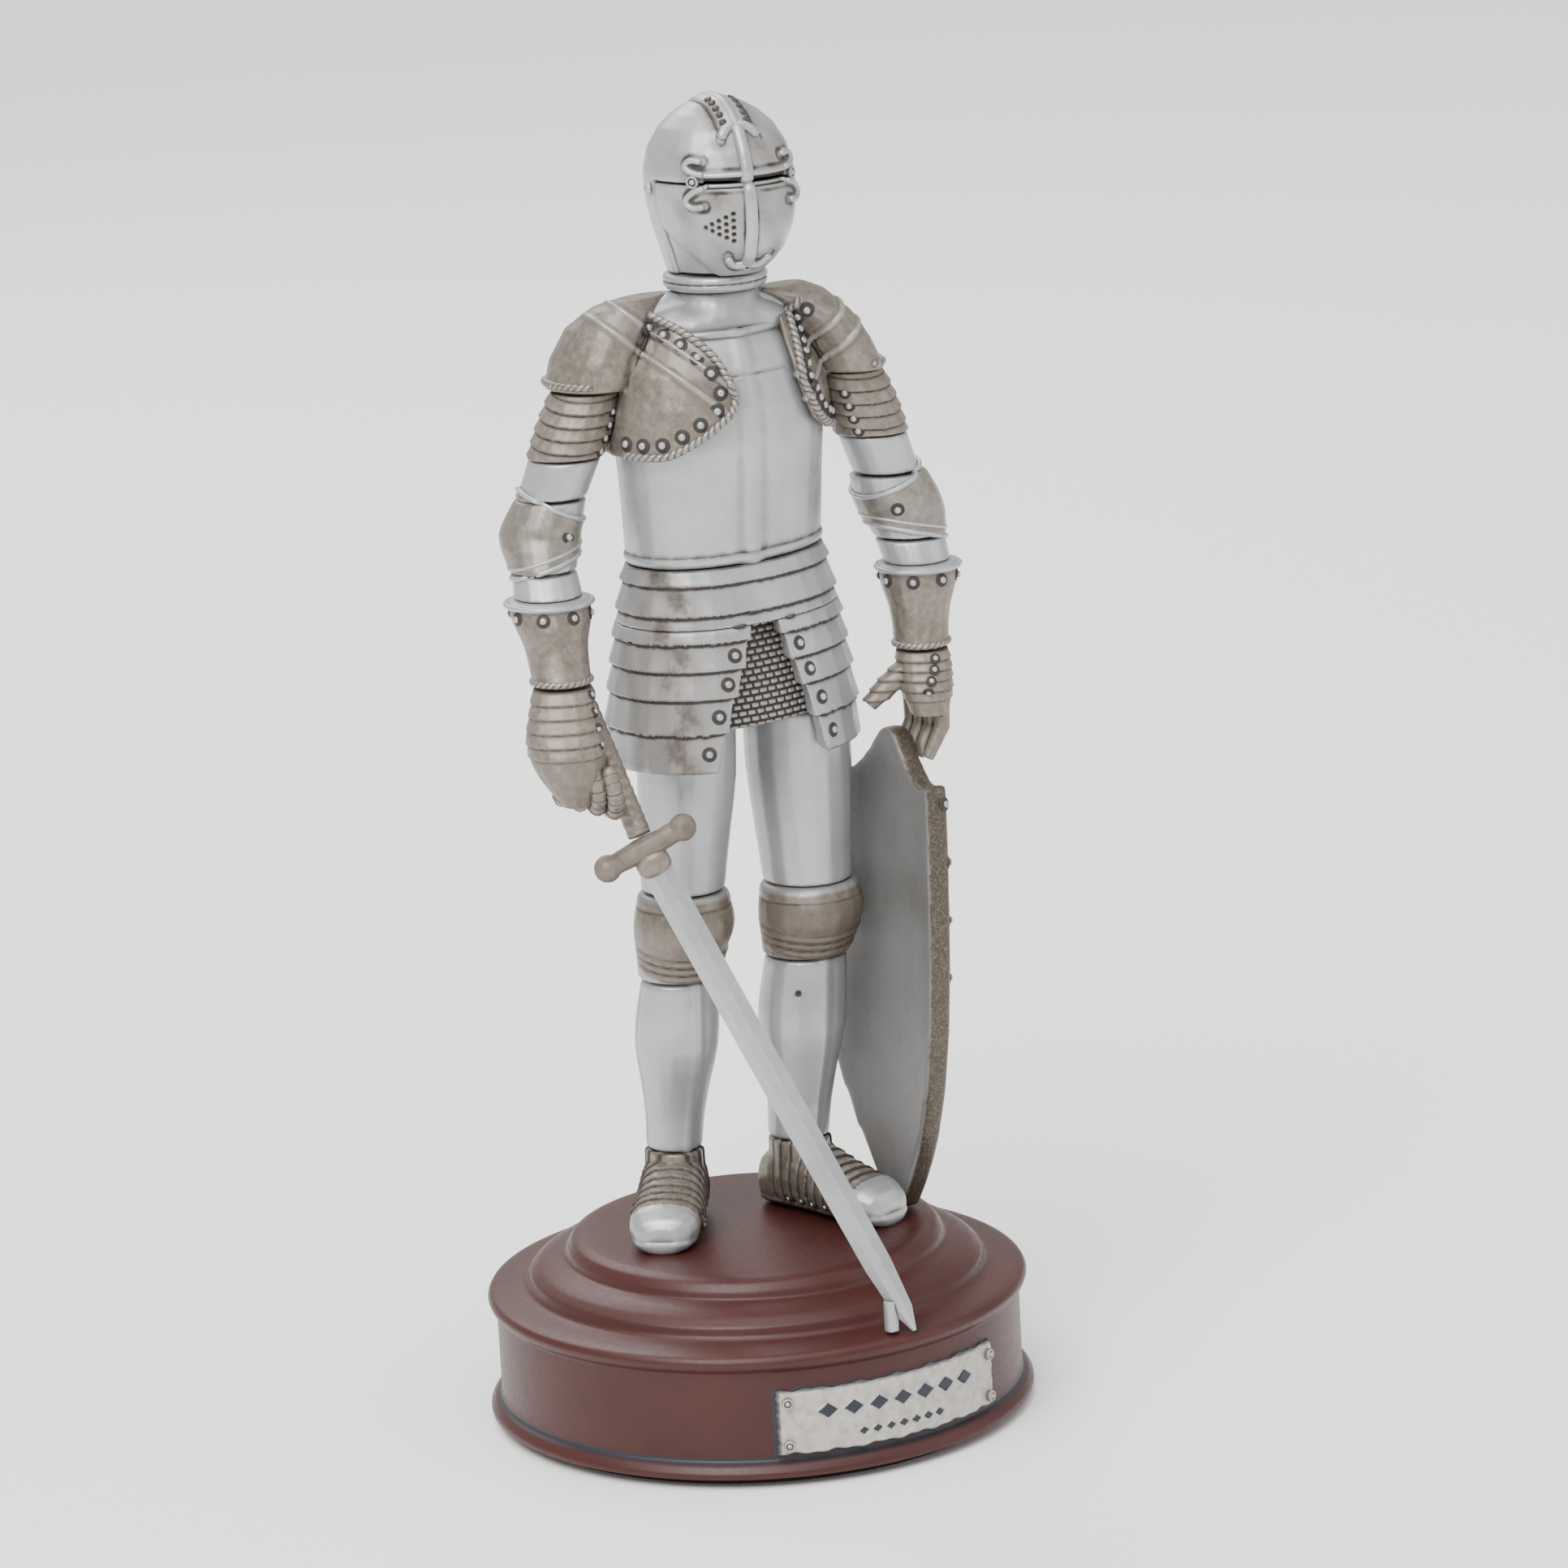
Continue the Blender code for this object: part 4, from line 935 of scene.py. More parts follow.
def make_helmet():
    """The skull with its comb, the visor with its eye slit and breath holes, and the cross strap."""
    low, high = box_mm("helmet_skull")
    slit = box_mm("visor")[1].z + 0.6
    mean = (high.x - low.x) / 2
    strap_points = np.concatenate([flat_curve(points, 0.5) for _, points in STRAP])

    def beside_strap(points, along):
        """Wash close to the strap, and a faint stain further out."""
        here = np.stack([np.abs(along), points[:, 2] - slit], axis=1)
        ahead = HEAD.local(points)[1] > 2
        distance = np.full(len(points), 9.0)
        for place in strap_points:
            distance = np.minimum(distance, np.hypot(*(here - place).T))
        edge = bump(distance, 0.75, 0.38) * (0.35 + 0.75 * patchy(points, 1.2, 4.0))
        stain = 0.55 * bump(distance, 0.6, 3.0) * patchy(points, 0.7)
        return np.maximum(edge, stain) * ahead

    def eye_opening(points, along):
        """1 within the eye slit, between the rails of the strap."""
        inside = rise(SLIT_REACH - np.abs(along), 0, 0.3)
        inside *= rise(SLIT_HALF - np.abs(points[:, 2] - slit), -0.1, 0.15)
        return inside * (HEAD.local(points)[1] > 2)

    def along_of(points):
        return np.arctan2(*HEAD.local(points)) * mean

    def skull_relief(points):
        across, ahead = HEAD.local(points)
        upper = rise(points[:, 2], slit + 5.8, slit + 7.4)
        groove = bump(np.abs(across), 2.75, 0.32) * upper * (ahead > -9)
        stain = 0.5 * bump(np.abs(across), 2.9, 1.3) * upper * rise(ahead, -2, 4)
        along = along_of(points)
        wash = np.maximum(beside_strap(points, along), np.maximum(groove, stain))
        opening = eye_opening(points, along)
        return -0.2 * groove - 0.35 * opening, np.maximum(wash, 1.6 * opening), 0.0

    def visor_relief(points):
        along = along_of(points)
        opening = eye_opening(points, along)
        wash = np.maximum(beside_strap(points, along), 1.6 * opening)
        height = -0.35 * opening
        for place, z in breath_holes(slit):
            near = np.hypot(along - place, points[:, 2] - z)
            height -= 0.5 * bump(near, 0, 0.27)
            wash = np.maximum(wash, bump(near, 0, 0.32) * 1.6)
        below = (slit - 7.4) - points[:, 2] - (14.8 - np.abs(along)) * 0.69
        height -= 0.4 * rise(below, -0.2, 1.6) * rise(np.abs(along), 3.0, 6.0)
        return height, wash, 0.0

    skull = dress("helmet_skull", skull_relief)
    skin = Skin(skull, dress("visor", visor_relief))
    for side in SIGN:
        dress(f"{side}_visor_pivot", material=SILVER_PAINT)
    inside = [(HEAD.place(0, 0, slit + k), HEAD.outward(0)) for k in (-2.4, -1.0, 0.0, 1.4)]
    trim("helmet_lining", [sweep("lining", inside, 2 * mean - 0.35, high.y - low.y - 0.5, wash=0.12)])
    make_comb(skull, skin, high.z - 12.0)
    make_strap(skin, mean, slit)


def make_comb(skull, skin, centre):
    """A ridge on flared flanks over the crown, with a row of holes along each flank."""

    def over(surface, angle, across):
        """A place on top of the helmet, from the angle ahead of the crown and the distance across."""
        way = HEAD.place(0, math.sin(angle), math.cos(angle)) - HEAD.place(0, 0, 0)
        return surface.cast(HEAD.place(across, 0, centre) + way * 30, -way)

    crown = [over(skin, math.radians(angle), 0) for angle in np.linspace(*COMB_ANGLES, 25)]
    flanks = sweep("comb", [(p - n * 0.4, n) for p, n in crown], 4.9, 1.9)
    ridge = sweep("comb", [(p + n * 0.05, n) for p, n in crown], 1.7, 1.5)
    whole = Skin(flanks, ridge, skull)
    places = [(angle, side) for angle in np.radians(np.linspace(*COMB_HOLES, 5)) for side in (-1.8, 1.8)]
    holes = [stud(*over(whole, *place), 1.15, HOLE) for place in places]
    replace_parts(trim("helmet_comb_fine", [flanks, ridge, *holes]), "helmet_comb")


def make_strap(skin, mean, slit):
    """The cross laid over the visor, with a rivet at each end of its bar and at its foot."""

    def at(along, above, lift=0.0):
        """A place on the helmet, from the distance round it and the height above the slit."""
        place, normal = skin.round(HEAD, along / mean, slit + above)
        normal = (normal + HEAD.outward(along / mean) * 2).normalized()
        return place + normal * lift, normal

    parts = []
    for number, (width, points) in enumerate(STRAP):
        for side in (1,) if number == 0 else (-1, 1):
            line = [at(side * a, h, 0.2) for a, h in flat_curve(points)]
            parts.append(sweep("strap", line, width, 1.5 if number == 0 else 1.15))
    parts += [stud(*at(along, above, 0.15), scale, RING_RIVET) for along, above, scale in PIVOTS]
    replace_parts(trim("visor_cross_fine", parts), "visor_cross")


def breath_holes(slit):
    """Distance round the helmet and height of each hole: a triangle on the right cheek."""
    holes = []
    for column in range(HOLE_COLUMNS):
        last = HOLE_COLUMNS - 1 - column
        for k in range(last + 1):
            holes.append((-2.3 - column * HOLE_PITCH, slit - 6.8 + (k - last / 2) * HOLE_PITCH))
    return holes


# ---- neck and trunk


NECK_SLOPE = ((-12.5, 166.9), (-9.0, 167.9), (-5.0, 168.6), (5.0, 168.6), (9.0, 167.9), (13.5, 167.0))


def make_trunk():
    """The cuirass with its medial ridge, the stained gorget and the stepped collar."""
    low, high = box_mm("cuirass")
    collar_low, collar_high = box_mm("collar_ring")

    def cuirass_relief(points):
        across, ahead = BODY.local(points)
        z = points[:, 2]
        front = rise(ahead, 2, 6)
        height = 0.5 * bump(across, 0.6, 1.5) * front
        height += 0.30 * rise(-z, -low.z - 1.5, -low.z - 1.1)
        side_seam = bump(ahead, 0.5, 0.22) * (np.abs(across) > 8)
        upper_band = bump(z, high.z - 5.8, 0.25) * front * (np.abs(across) < 8)
        height -= 0.25 * side_seam + 0.12 * upper_band
        wash = np.maximum(0.6 * side_seam, 0.35 * upper_band)
        wash = np.maximum(wash, 0.55 * bump(z, low.z + 1.55, 0.22))
        wash = np.maximum(wash, 0.45 * rise(z, high.z - 1.6, high.z) * patchy(points, 1.1))
        return height, wash, 0.0

    neck = MiddleLine("gorget", HEAD_TURN)

    def gorget_relief(points):
        stain = 0.75 * patchy(points, 0.9, 2.0) ** 1.5
        edge = 0.4 * rise(points[:, 2], collar_low.z - 1.4, collar_low.z)
        flare = rise(neck.high - points[:, 2], 1.0, 4.8) * np.sin(neck.angles(points)) ** 2
        return 2.4 * flare, 0.5 * stain + edge, 0.05

    def collar_relief(points):
        z = points[:, 2]
        middle = (collar_low.z + collar_high.z) / 2
        groove = bump(z, middle, 0.22)
        return -0.35 * groove + 0.1, 0.55 * groove, 0.0

    skin = Skin(dress("cuirass", cuirass_relief))
    dress("gorget", gorget_relief, SILVER_PAINT)
    dress("collar_ring", collar_relief)
    line = MiddleLine("cuirass")
    neckline = [(p + UP * 0.5, n) for p, n in ring_path(skin, line, lambda a: high.z - 0.5)]
    trim("neck_roll", [sweep("neck_roll", neckline, 1.2, 1.2, closed=True)])
    filler = [(BODY.place(across, -0.4, z), UP) for across, z in spline(NECK_SLOPE)]
    trim("neck_filler", [sweep("neck_filler", filler, 8.0, 4.4)])


def mirrored(outline, sign):
    return [(across * sign, height) for across, height in outline]


PAULDRONS = {
    # side: roped edge of the breast lobe as (across, height), levels of the two ridges
    "right": (
        [(11.3, 169.0), (7.7, 166.8), (4.0, 163.0), (2.2, 158.8), (1.7, 155.8), (4.0, 153.0), (9.3, 149.6),
         (13.1, 148.1), (17.4, 148.1)],
        (113.3, 116.6),
    ),
    "left": (
        [(12.0, 168.9), (9.8, 166.6), (9.7, 163.4), (9.4, 160.0), (9.5, 157.3), (10.6, 154.4), (12.3, 151.4),
         (15.2, 149.1), (17.8, 148.6)],
        (108.6, 112.0),
    ),
}
RIDGE_SLOPE = (0.664, 0.748)  # a ridge runs where across * slope[0] + height * slope[1] is level


def inset_outline(outline, distance):
    """The outline moved inwards: to the left of its direction."""
    points = np.array(spline(outline))
    along = np.gradient(points, axis=0)
    along /= np.linalg.norm(along, axis=1)[:, None]
    inwards = np.stack([-along[:, 1], along[:, 0]], axis=1)
    return [tuple(p) for p in (points + inwards * distance)[::4]]


def make_pauldron(side):
    """A shoulder: two ridges with a washed band between, a roped edge, and rivets along it."""
    sign = SIGN[side]
    outline, ridges = PAULDRONS[side]

    def level_of(points):
        across, ahead = BODY.local(points)
        return across * -sign * RIDGE_SLOPE[0] + points[:, 2] * RIDGE_SLOPE[1], ahead

    def upper(points):
        return 0.9 * rise(level_of(points)[0], ridges[0] - 4.0, ridges[0] - 0.5)

    def relief(points):
        level, ahead = level_of(points)
        front = rise(ahead, -3, 0)
        ridge = (bump(level, ridges[0], 0.36) + bump(level, ridges[1], 0.36)) * front
        band = rise(level, ridges[0] - 0.3, ridges[0] + 0.3) - rise(level, ridges[1] - 0.3, ridges[1] + 0.3)
        flank = bump(level, ridges[0] - 0.8, 0.35) + bump(level, ridges[1] + 0.8, 0.35)
        wash = front * (0.16 * band + 0.45 * flank) + 0.14 * patchy(points, 0.8)
        tone = 1.0 - 0.75 * np.clip(ridge, 0, 1)
        return 0.36 * ridge - 0.12 * band * front, wash, tone

    mesh = dress(f"{side}_pauldron", relief, SILVER_PAINT, upper)
    skin = Skin(mesh)
    both = Skin(mesh, bpy.data.objects["cuirass_fine"].data)
    edge = outline_path(skin, BODY, mirrored(inset_outline(outline, 0.6), sign), 0.25)
    inner = outline_path(skin, BODY, mirrored(inset_outline(outline, 2.3), sign), 0.0)
    back = Facing(BODY.x, BODY.y, BODY_TURN + math.pi)
    rear = outline_path(both, back, mirrored(outline, -sign), 0.2)
    ropes = [sweep("rope", path, 1.3, 1.3, strands=2, pitch=2.2, tone=0.6) for path in (edge, rear)]
    trim(f"{side}_lobe_ropes", ropes)
    trim(f"{side}_lobe_rivets", [stud(p, n) for p, n in spaced(inner, 12, 0.8)])
    line = MiddleLine(f"{side}_arm_lames")
    span = (-170, -8) if sign < 0 else (8, 170)
    band = ring_path(skin, line, lambda a: line.high + 1.3, *span, lift=0.05)
    trim(f"{side}_shoulder_rope", [sweep("rope", band, 1.2, 1.2, strands=2, pitch=2.3, tone=0.8)])


# ---- arms


LAME_COUNT = 5
CUFF_STUDS = 8


def make_arm(side):
    """Lames with rivets, the upper arm, the elbow cop between slanted rims, and the cuff."""
    line = MiddleLine(f"{side}_arm_lames")
    seams = np.linspace(line.low, line.high, LAME_COUNT + 1)

    def lame_relief(points):
        tilted = points[:, 2] + 0.9 * np.cos(line.angles(points))
        height, wash = lames(tilted, seams, 0.36)
        return height - 0.1, 0.85 * wash, 0.75

    skin = Skin(dress(f"{side}_arm_lames", lame_relief))
    heights = seams[:LAME_COUNT - 1] + 0.5 * (seams[1] - seams[0])
    trim(f"{side}_lame_rivets", [limb_stud(skin, line, -38 * SIGN[side], h, 0.85) for h in heights])
    make_elbow(side)
    make_cuff(side)


def make_elbow(side):
    """The cop between two slanted rims, which the arm's own paint meets above and below."""
    line = MiddleLine(f"{side}_elbow_cop")
    lead = math.radians(100 * SIGN[side])

    def top_rim(angle):
        return line.high - 0.8 + 2.4 * np.cos(angle - lead)

    def low_rim(angle):
        return line.low + 0.7 - 1.5 * np.cos(angle - lead)

    def between_rims(points, middle):
        angles = middle.angles(points)
        z = points[:, 2]
        return rise(top_rim(angles) - z, -0.15, 0.15) * rise(z - low_rim(angles), -0.15, 0.15)

    def cop_relief(points):
        inside = between_rims(points, line)
        return 0.3 * inside - 0.15, None, 0.9 * inside

    def arm_relief(node):
        middle = MiddleLine(node)

        def relief(points):
            inside = between_rims(points, middle)
            return 0.28 * inside, None, 0.9 * inside

        return relief

    meshes = [dress(f"{side}_elbow_cop", cop_relief, SILVER_PAINT)]
    for node in (f"{side}_upper_arm", f"{side}_forearm"):
        meshes.append(dress(node, arm_relief(node), SILVER_PAINT))
    skin = Skin(*meshes)
    rims = [
        sweep("rim", ring_path(skin, line, top_rim, lift=0.05), 0.75, 0.7, closed=True),
        sweep("rim", ring_path(skin, line, low_rim, lift=0.05), 0.75, 0.7, closed=True),
        sweep("rim", ring_path(skin, line, lambda a: low_rim(a) + 1.3, lift=-0.05), 0.5, 0.5, closed=True),
    ]
    trim(f"{side}_elbow_rims", rims)
    rivet = limb_stud(skin, line, -22 * SIGN[side], (line.low + line.high) / 2, 0.95)
    trim(f"{side}_elbow_rivet", [rivet])


def make_cuff(side):
    line = MiddleLine(f"{side}_gauntlet_cuff")

    def relief(points):
        z = points[:, 2]
        lip = rise(z, line.high - 1.1, line.high - 0.6)
        wash = 0.4 * bump(z, line.high - 1.0, 0.25) + 0.14 * patchy(points, 0.8)
        return 0.25 * lip, wash, 1.0 - 0.9 * lip

    skin = Skin(dress(f"{side}_gauntlet_cuff", relief, SILVER_PAINT))
    lip = ring_path(skin, line, lambda a: line.high - 0.35, lift=0.1)
    wrist = ring_path(skin, line, lambda a: line.low + 0.6)
    trims = [
        sweep("lip", lip, 0.8, 0.9, closed=True),
        sweep("rope", wrist, 1.0, 0.9, strands=2, pitch=1.9, tone=0.6, closed=True),
    ]
    turn = 360 / CUFF_STUDS
    trims += [limb_stud(skin, line, turn * k - 74, line.high - 1.9, 0.92) for k in range(CUFF_STUDS)]
    trim(f"{side}_cuff_trim", trims)


# ---- hands


HANDS = {"right": (107.4, 45), "left": (106.4, 5)}  # height of the knuckles, angle of the rivets
FINGER_PITCH = 2.45
FINGER_DROP = 1.05
FINGER_WIDTH = 2.5


def make_hand(side):
    """A gauntlet: narrow lames over the back of the hand, with a row of rivets."""
    knuckles, angle = HANDS[side]
    line = MiddleLine(f"{side}_hand")
    seams = np.linspace(knuckles, line.high, 6)

    def relief(points):
        z = points[:, 2]
        height, wash = lames(z, seams, 0.28)
        below = 0.4 * patchy(points, 1.6, 2.0) * (z < knuckles)
        return height * (z > knuckles) - 0.1, np.maximum(0.6 * wash, below), 1.0

    skin = Skin(dress(f"{side}_hand", relief))
    heights = np.linspace(knuckles + 1.5, line.high - 1.0, 4)
    trim(f"{side}_hand_rivets", [limb_stud(skin, line, angle, height, 0.72) for height in heights])


def right_fingers():
    """Four fingers folded round the grip, stepping down towards the guard."""
    line = MiddleLine("right_hand")
    root = line.facing(box_mm("right_hand")[0].z + 6)
    facing = Vector((-0.5, -0.8, -0.2)).normalized()
    fingers = []
    for number in range(4):
        along = (number - 1.5) * FINGER_PITCH
        drop = number * FINGER_DROP
        knuckle = Vector((root.x + along * 0.86, root.y - 3.6 - along * 0.5, 107.2 - drop * 0.5))
        middle = knuckle + Vector((0.5, -1.0, -3.4 - drop * 0.25))
        tip = middle + Vector((1.0, 2.2, -3.0))
        end = tip + Vector((0.6, 2.6, 0.4))
        path = [(Vector(p), facing) for p in spline([knuckle, middle, tip, end], 6)]
        fingers.append(sweep("finger", path, FINGER_WIDTH, FINGER_WIDTH, tone=1.0, rings=1.35))
    trim("right_fingers", fingers, slot="pewter_paint")


# ---- hips


FAULD_SEAMS = (107.4, 112.5, 116.6, 120.6, 124.6, 128.9)  # lower edges of the lames between hem and waist
NOTCH_TOP = 124.6
NOTCH_MIDDLE = 1.2
NOTCH = ((100, 111, 117, 123.2, 124.6), (10.3, 6.6, 4.2, 2.2, 0.9))  # heights and half widths
HINGE_ACROSS = -17.9


def notch_half(height):
    """Half the width of the opening between the tassets."""
    return float(np.interp(height, *NOTCH))


def make_hips():
    """Horizontal lames from the waist to the hem, rivets beside the notch, and mail within it."""
    top = box_mm("fauld")[1].z
    hem = box_mm("right_tasset")[0].z
    seams = [hem - 0.3, *FAULD_SEAMS, top]

    def relief(points):
        across, ahead = BODY.local(points)
        z = points[:, 2]
        outer = rise(np.hypot(across / 1.3, ahead), 8.5, 9.5)
        height, wash = lames(z, seams, 0.62)
        hinge = bump(across, HINGE_ACROSS, 0.8) * rise(ahead, 2, 5) * (z < 121)
        height = (height - 0.1) * outer
        wash *= 0.30 + 0.5 * patchy(points, 0.45, 1.0)
        worn = 0.25 + 0.75 * patchy(points, 0.8)
        stain = 0.70 * bump(across, -13.0, 4.0) * rise(ahead, -4, 2) * worn + 0.12 * patchy(points, 0.5, 3.0)
        wash = np.maximum(np.maximum(wash * outer, 0.4 * hinge), stain)
        return height, wash, 0.12

    plates = ("fauld", "right_tasset", "left_tasset", "rear_tasset")
    skin = Skin(*[dress(name, relief, SILVER_PAINT) for name in plates])
    rivets = []
    for height in [(a + b) / 2 for a, b in zip(seams[:5], seams[1:6])]:
        reach = notch_half(height) + 1.9
        rivets += [stud(*skin.front(BODY, NOTCH_MIDDLE + side * reach, height)) for side in (-1, 1)]
    trim("tasset_rivets", rivets)
    make_mail(Skin(dress("mail_skirt")))


MAIL_ROW = 0.98
MAIL_LINK = 1.5
MAIL_STEP = 0.14


def make_mail(skin):
    """A fine panel of mail links where the tassets leave the skirt open."""
    across = np.arange(-8.5, 11.5, MAIL_STEP)
    heights = np.arange(box_mm("mail_skirt")[0].z + 0.4, NOTCH_TOP, MAIL_STEP)
    coarse_a = np.linspace(across[0], across[-1], 24)
    coarse_h = np.linspace(heights[0], heights[-1], 16)
    places = np.array([[tuple(skin.front(BODY, a, h)[0]) for a in coarse_a] for h in coarse_h])
    rows = np.stack([interpolate(across, coarse_a, line) for line in places])
    surface = np.stack([interpolate(heights, coarse_h, rows[:, k]) for k in range(len(across))], axis=1)
    aa, hh = np.meshgrid(across, heights)
    layer = np.floor(hh / MAIL_ROW)
    v = hh / MAIL_ROW - layer - 0.5
    u = (aa + (layer % 2) * MAIL_LINK / 2 + 0.12 * np.sin(layer * 2.3)) / MAIL_LINK
    u = u - np.floor(u) - 0.5
    body = np.clip(1 - (np.abs(u) / 0.42) ** 4, 0, 1) * np.clip(1 - (np.abs(v) / 0.36) ** 2, 0, 1)
    relief = 0.12 + 0.5 * np.sqrt(body)
    out = np.array(BODY.outward(0))
    front = surface + out * relief[:, :, None]
    back = surface - out * 0.4
    panel = sheet_mesh("mail_links", front[:, ::-1], back[:, ::-1])
    wash = (1 - rise(body, 0.02, 0.45))[:, ::-1]
    set_paint(panel, wash=np.concatenate([wash.reshape(-1), np.ones(wash.size)]), tone=0.5)
    add_piece("mail_links", panel, SILVER_PAINT)


# ---- legs


KNEE_SHADE = {"right": 0.15, "left": 0.50}
PINHOLE = (math.radians(-28), 63.4)  # angle and height of the hole in the left greave
SHIN_RADIUS = 6.5


def make_leg(side):
    """Thigh, knee cop with its rolls, greave and lamed sabaton."""
    dress(f"{side}_thigh")
    make_knee(side)
    line = MiddleLine(f"{side}_greave")

    def greave_relief(points):
        angles = line.angles(points)
        from_hole = np.hypot((angles - PINHOLE[0]) * SHIN_RADIUS, points[:, 2] - PINHOLE[1])
        hole = bump(from_hole, 0, 0.42) * (side == "left")
        seam = bump(angles, math.radians(SIGN[side] * 95), 0.035)
        shin = bump(angles, math.radians(8), 0.16)
        return 0.35 * shin - 0.6 * hole - 0.15 * seam, np.maximum(2.2 * hole, 0.4 * seam), 0.0

    dress(f"{side}_greave", greave_relief)
    make_sabaton(side)


def make_knee(side):
    """A rounded cop, with a band above it and three rolls below that dip to the front."""
    cop_line = MiddleLine(f"{side}_knee_cop")
    high, low = cop_line.high, cop_line.low

    def relief(points):
        z = points[:, 2]
        turned = np.cos(cop_line.angles(points))
        front = rise(turned, -0.5, 0.4)
        dipped = z - 1.5 * (1 - turned)
        rolls = sum(bump(dipped, low + up, 0.42) for up in (0.7, 1.9, 3.1))
        grooves = sum(bump(dipped, low + up, 0.24) for up in (1.3, 2.5, 3.8))
        band = bump(z, high - 0.9, 0.8)
        bulge = bump(z, (high + low) / 2 + 1.4, 3.6) * front
        wash = 0.6 * grooves * front + 0.65 * bump(z, high - 2.1, 0.25) + 0.2 * patchy(points, 0.7)
        wash = np.maximum(wash, KNEE_SHADE[side] * rise(high - 1.8 - z, 0, 0.6))
        tone = rise(dipped, low - 0.1, low + 0.3) * (1 - 0.5 * rise(z, high - 1.0, high - 0.5))
        return 0.75 * bulge + 0.2 * band + 0.3 * rolls * front, wash, tone

    dress(f"{side}_knee_cop", relief, SILVER_PAINT)


FOOT_HEADING = {"right": math.radians(-38), "left": math.radians(17)}
TOE_CAP = 4.2
SOLE = 1.2


def make_sabaton(side):
    """A foot of overlapping lames, with a silver toe cap, a sole flange and a row of rivets."""
    node = f"{side}_sabaton"
    low, _ = box_mm(node)
    ankle = box_middle(f"{side}_foot_pin")
    foot = Facing(ankle.x, ankle.y, FOOT_HEADING[side])
    toe = max(foot.local(mesh_arrays(node_mesh(node))[0])[1])
    seams = np.linspace(-1.5, toe - TOE_CAP + 0.1, 10)

    def relief(points):
        _, ahead = foot.local(points)
        height, wash = lames(-ahead, -seams, 0.36)
        above = rise(points[:, 2], low.z + SOLE, low.z + SOLE + 0.6)
        cap = rise(ahead, toe - TOE_CAP, toe - TOE_CAP + 0.3)
        shown = above * (1 - cap)
        return height * shown + 0.25 * cap + 0.3 * (1 - above), wash * shown, 1 - cap * 0.95

    skin = Skin(dress(node, relief, SILVER_PAINT))
    rivets = []
    for ahead in 1.5 + np.arange(5) * 2.6:
        start = foot.place(-SIGN[side] * 30, ahead, low.z + 2.3)
        aim = foot.place(0, ahead, low.z + 2.3) - start
        rivets.append(stud(*skin.cast(start, aim.normalized()), 0.62))
    trim(f"{side}_sabaton_rivets", rivets)


# ---- sword and shield


GRIP_PITCH = 1.5
BLADE_FACING = Vector((-0.51, -0.86, 0.0))
LANGET = (0.5, 4.6)  # reach of the small block below the guard
LANGET_SIZE = (5.2, 3.2)


def make_sword():
    """The guard gets a small block below it, and the grip a spiral binding."""
    dress("sword_guard", lambda points: (np.zeros(len(points)), 0.2 + 0.4 * patchy(points, 1.0), 1.0))
    dress("sword_pommel")
    dress("tip_rest")
    line = MiddleLine("sword_grip")
    low, high = box_mm("sword_grip")
    start = line.point(low.z)
    along = (line.point(high.z) - start).normalized()

    def grip_relief(points):
        offset = points - np.array(start)
        angle = np.arctan2(offset[:, 1], offset[:, 0])
        turns = np.cos(2 * math.pi * (offset @ np.array(along)) / GRIP_PITCH + angle)
        return 0.05 * turns, 0.2 * patchy(points, 1.2) - 0.1 * turns, 1.0

    dress("sword_grip", grip_relief)
    middle = box_middle("sword_guard")
    tip = Vector(min((v.co for v in node_mesh("sword_blade").vertices), key=lambda co: co.z)) / MM
    down = (tip - middle).normalized()
    block = [(middle + down * k + BLADE_FACING * 0.2, BLADE_FACING) for k in np.linspace(*LANGET, 8)]
    trim("langet", [sweep("langet", block, *LANGET_SIZE, tone=1.0)], slot="pewter_paint")


SHIELD_STUDS = np.linspace(0.12, 0.84, 7)  # shares of the way down the board
SHIELD_HALF = 15.6


def shield_width(share):
    """Half the distance between the two rows of studs."""
    return SHIELD_HALF * (1 - max(0.0, share - 0.45) ** 1.4 * 1.9)


def make_shield():
    """Silver faces, a worn brown edge, and a row of studs near the front border."""
    mesh = fine_mesh("shield_board", *MESHING["shield_board"])
    normals = normals_of(mesh)
    low, high = box_mm("shield_board")
    facing = Facing((low.x + high.x) / 2, (low.y + high.y) / 2, math.pi / 2)
    level = np.hypot(normals[:, 0], normals[:, 1])
    rim = 1 - rise(np.abs(normals[:, 0]) / np.maximum(level, 0.01), 0.62, 0.86) * rise(level, 0.6, 0.85)
    carve(mesh, np.zeros(len(normals)), tone=rim)
    add_piece("shield_board_fine", mesh, SHIELD_PAINT, nodes=("shield_board",))
    skin = Skin(mesh)
    studs = []
    for share in SHIELD_STUDS:
        height = high.z - (high.z - low.z) * share
        for side in (-1, 1):
            studs.append(stud(*skin.front(facing, side * shield_width(share), height), 0.95))
    trim("shield_studs", studs)


# ---- what is left, and the stage


KEPT_NODES = {  # these keep their CAD meshes
    "felt_pad": FELT_PAINT,
    "sword_blade": SILVER_PAINT,
    "right_foot_pin": SILVER_PAINT,
    "left_foot_pin": SILVER_PAINT,
}
CORES = {  # limb: the nodes it runs through, and its width
    "leg": (("thigh", "knee_cop"), 10.4),
    "arm": (("arm_lames", "upper_arm", "elbow_cop", "forearm", "gauntlet_cuff"), 7.4),
}


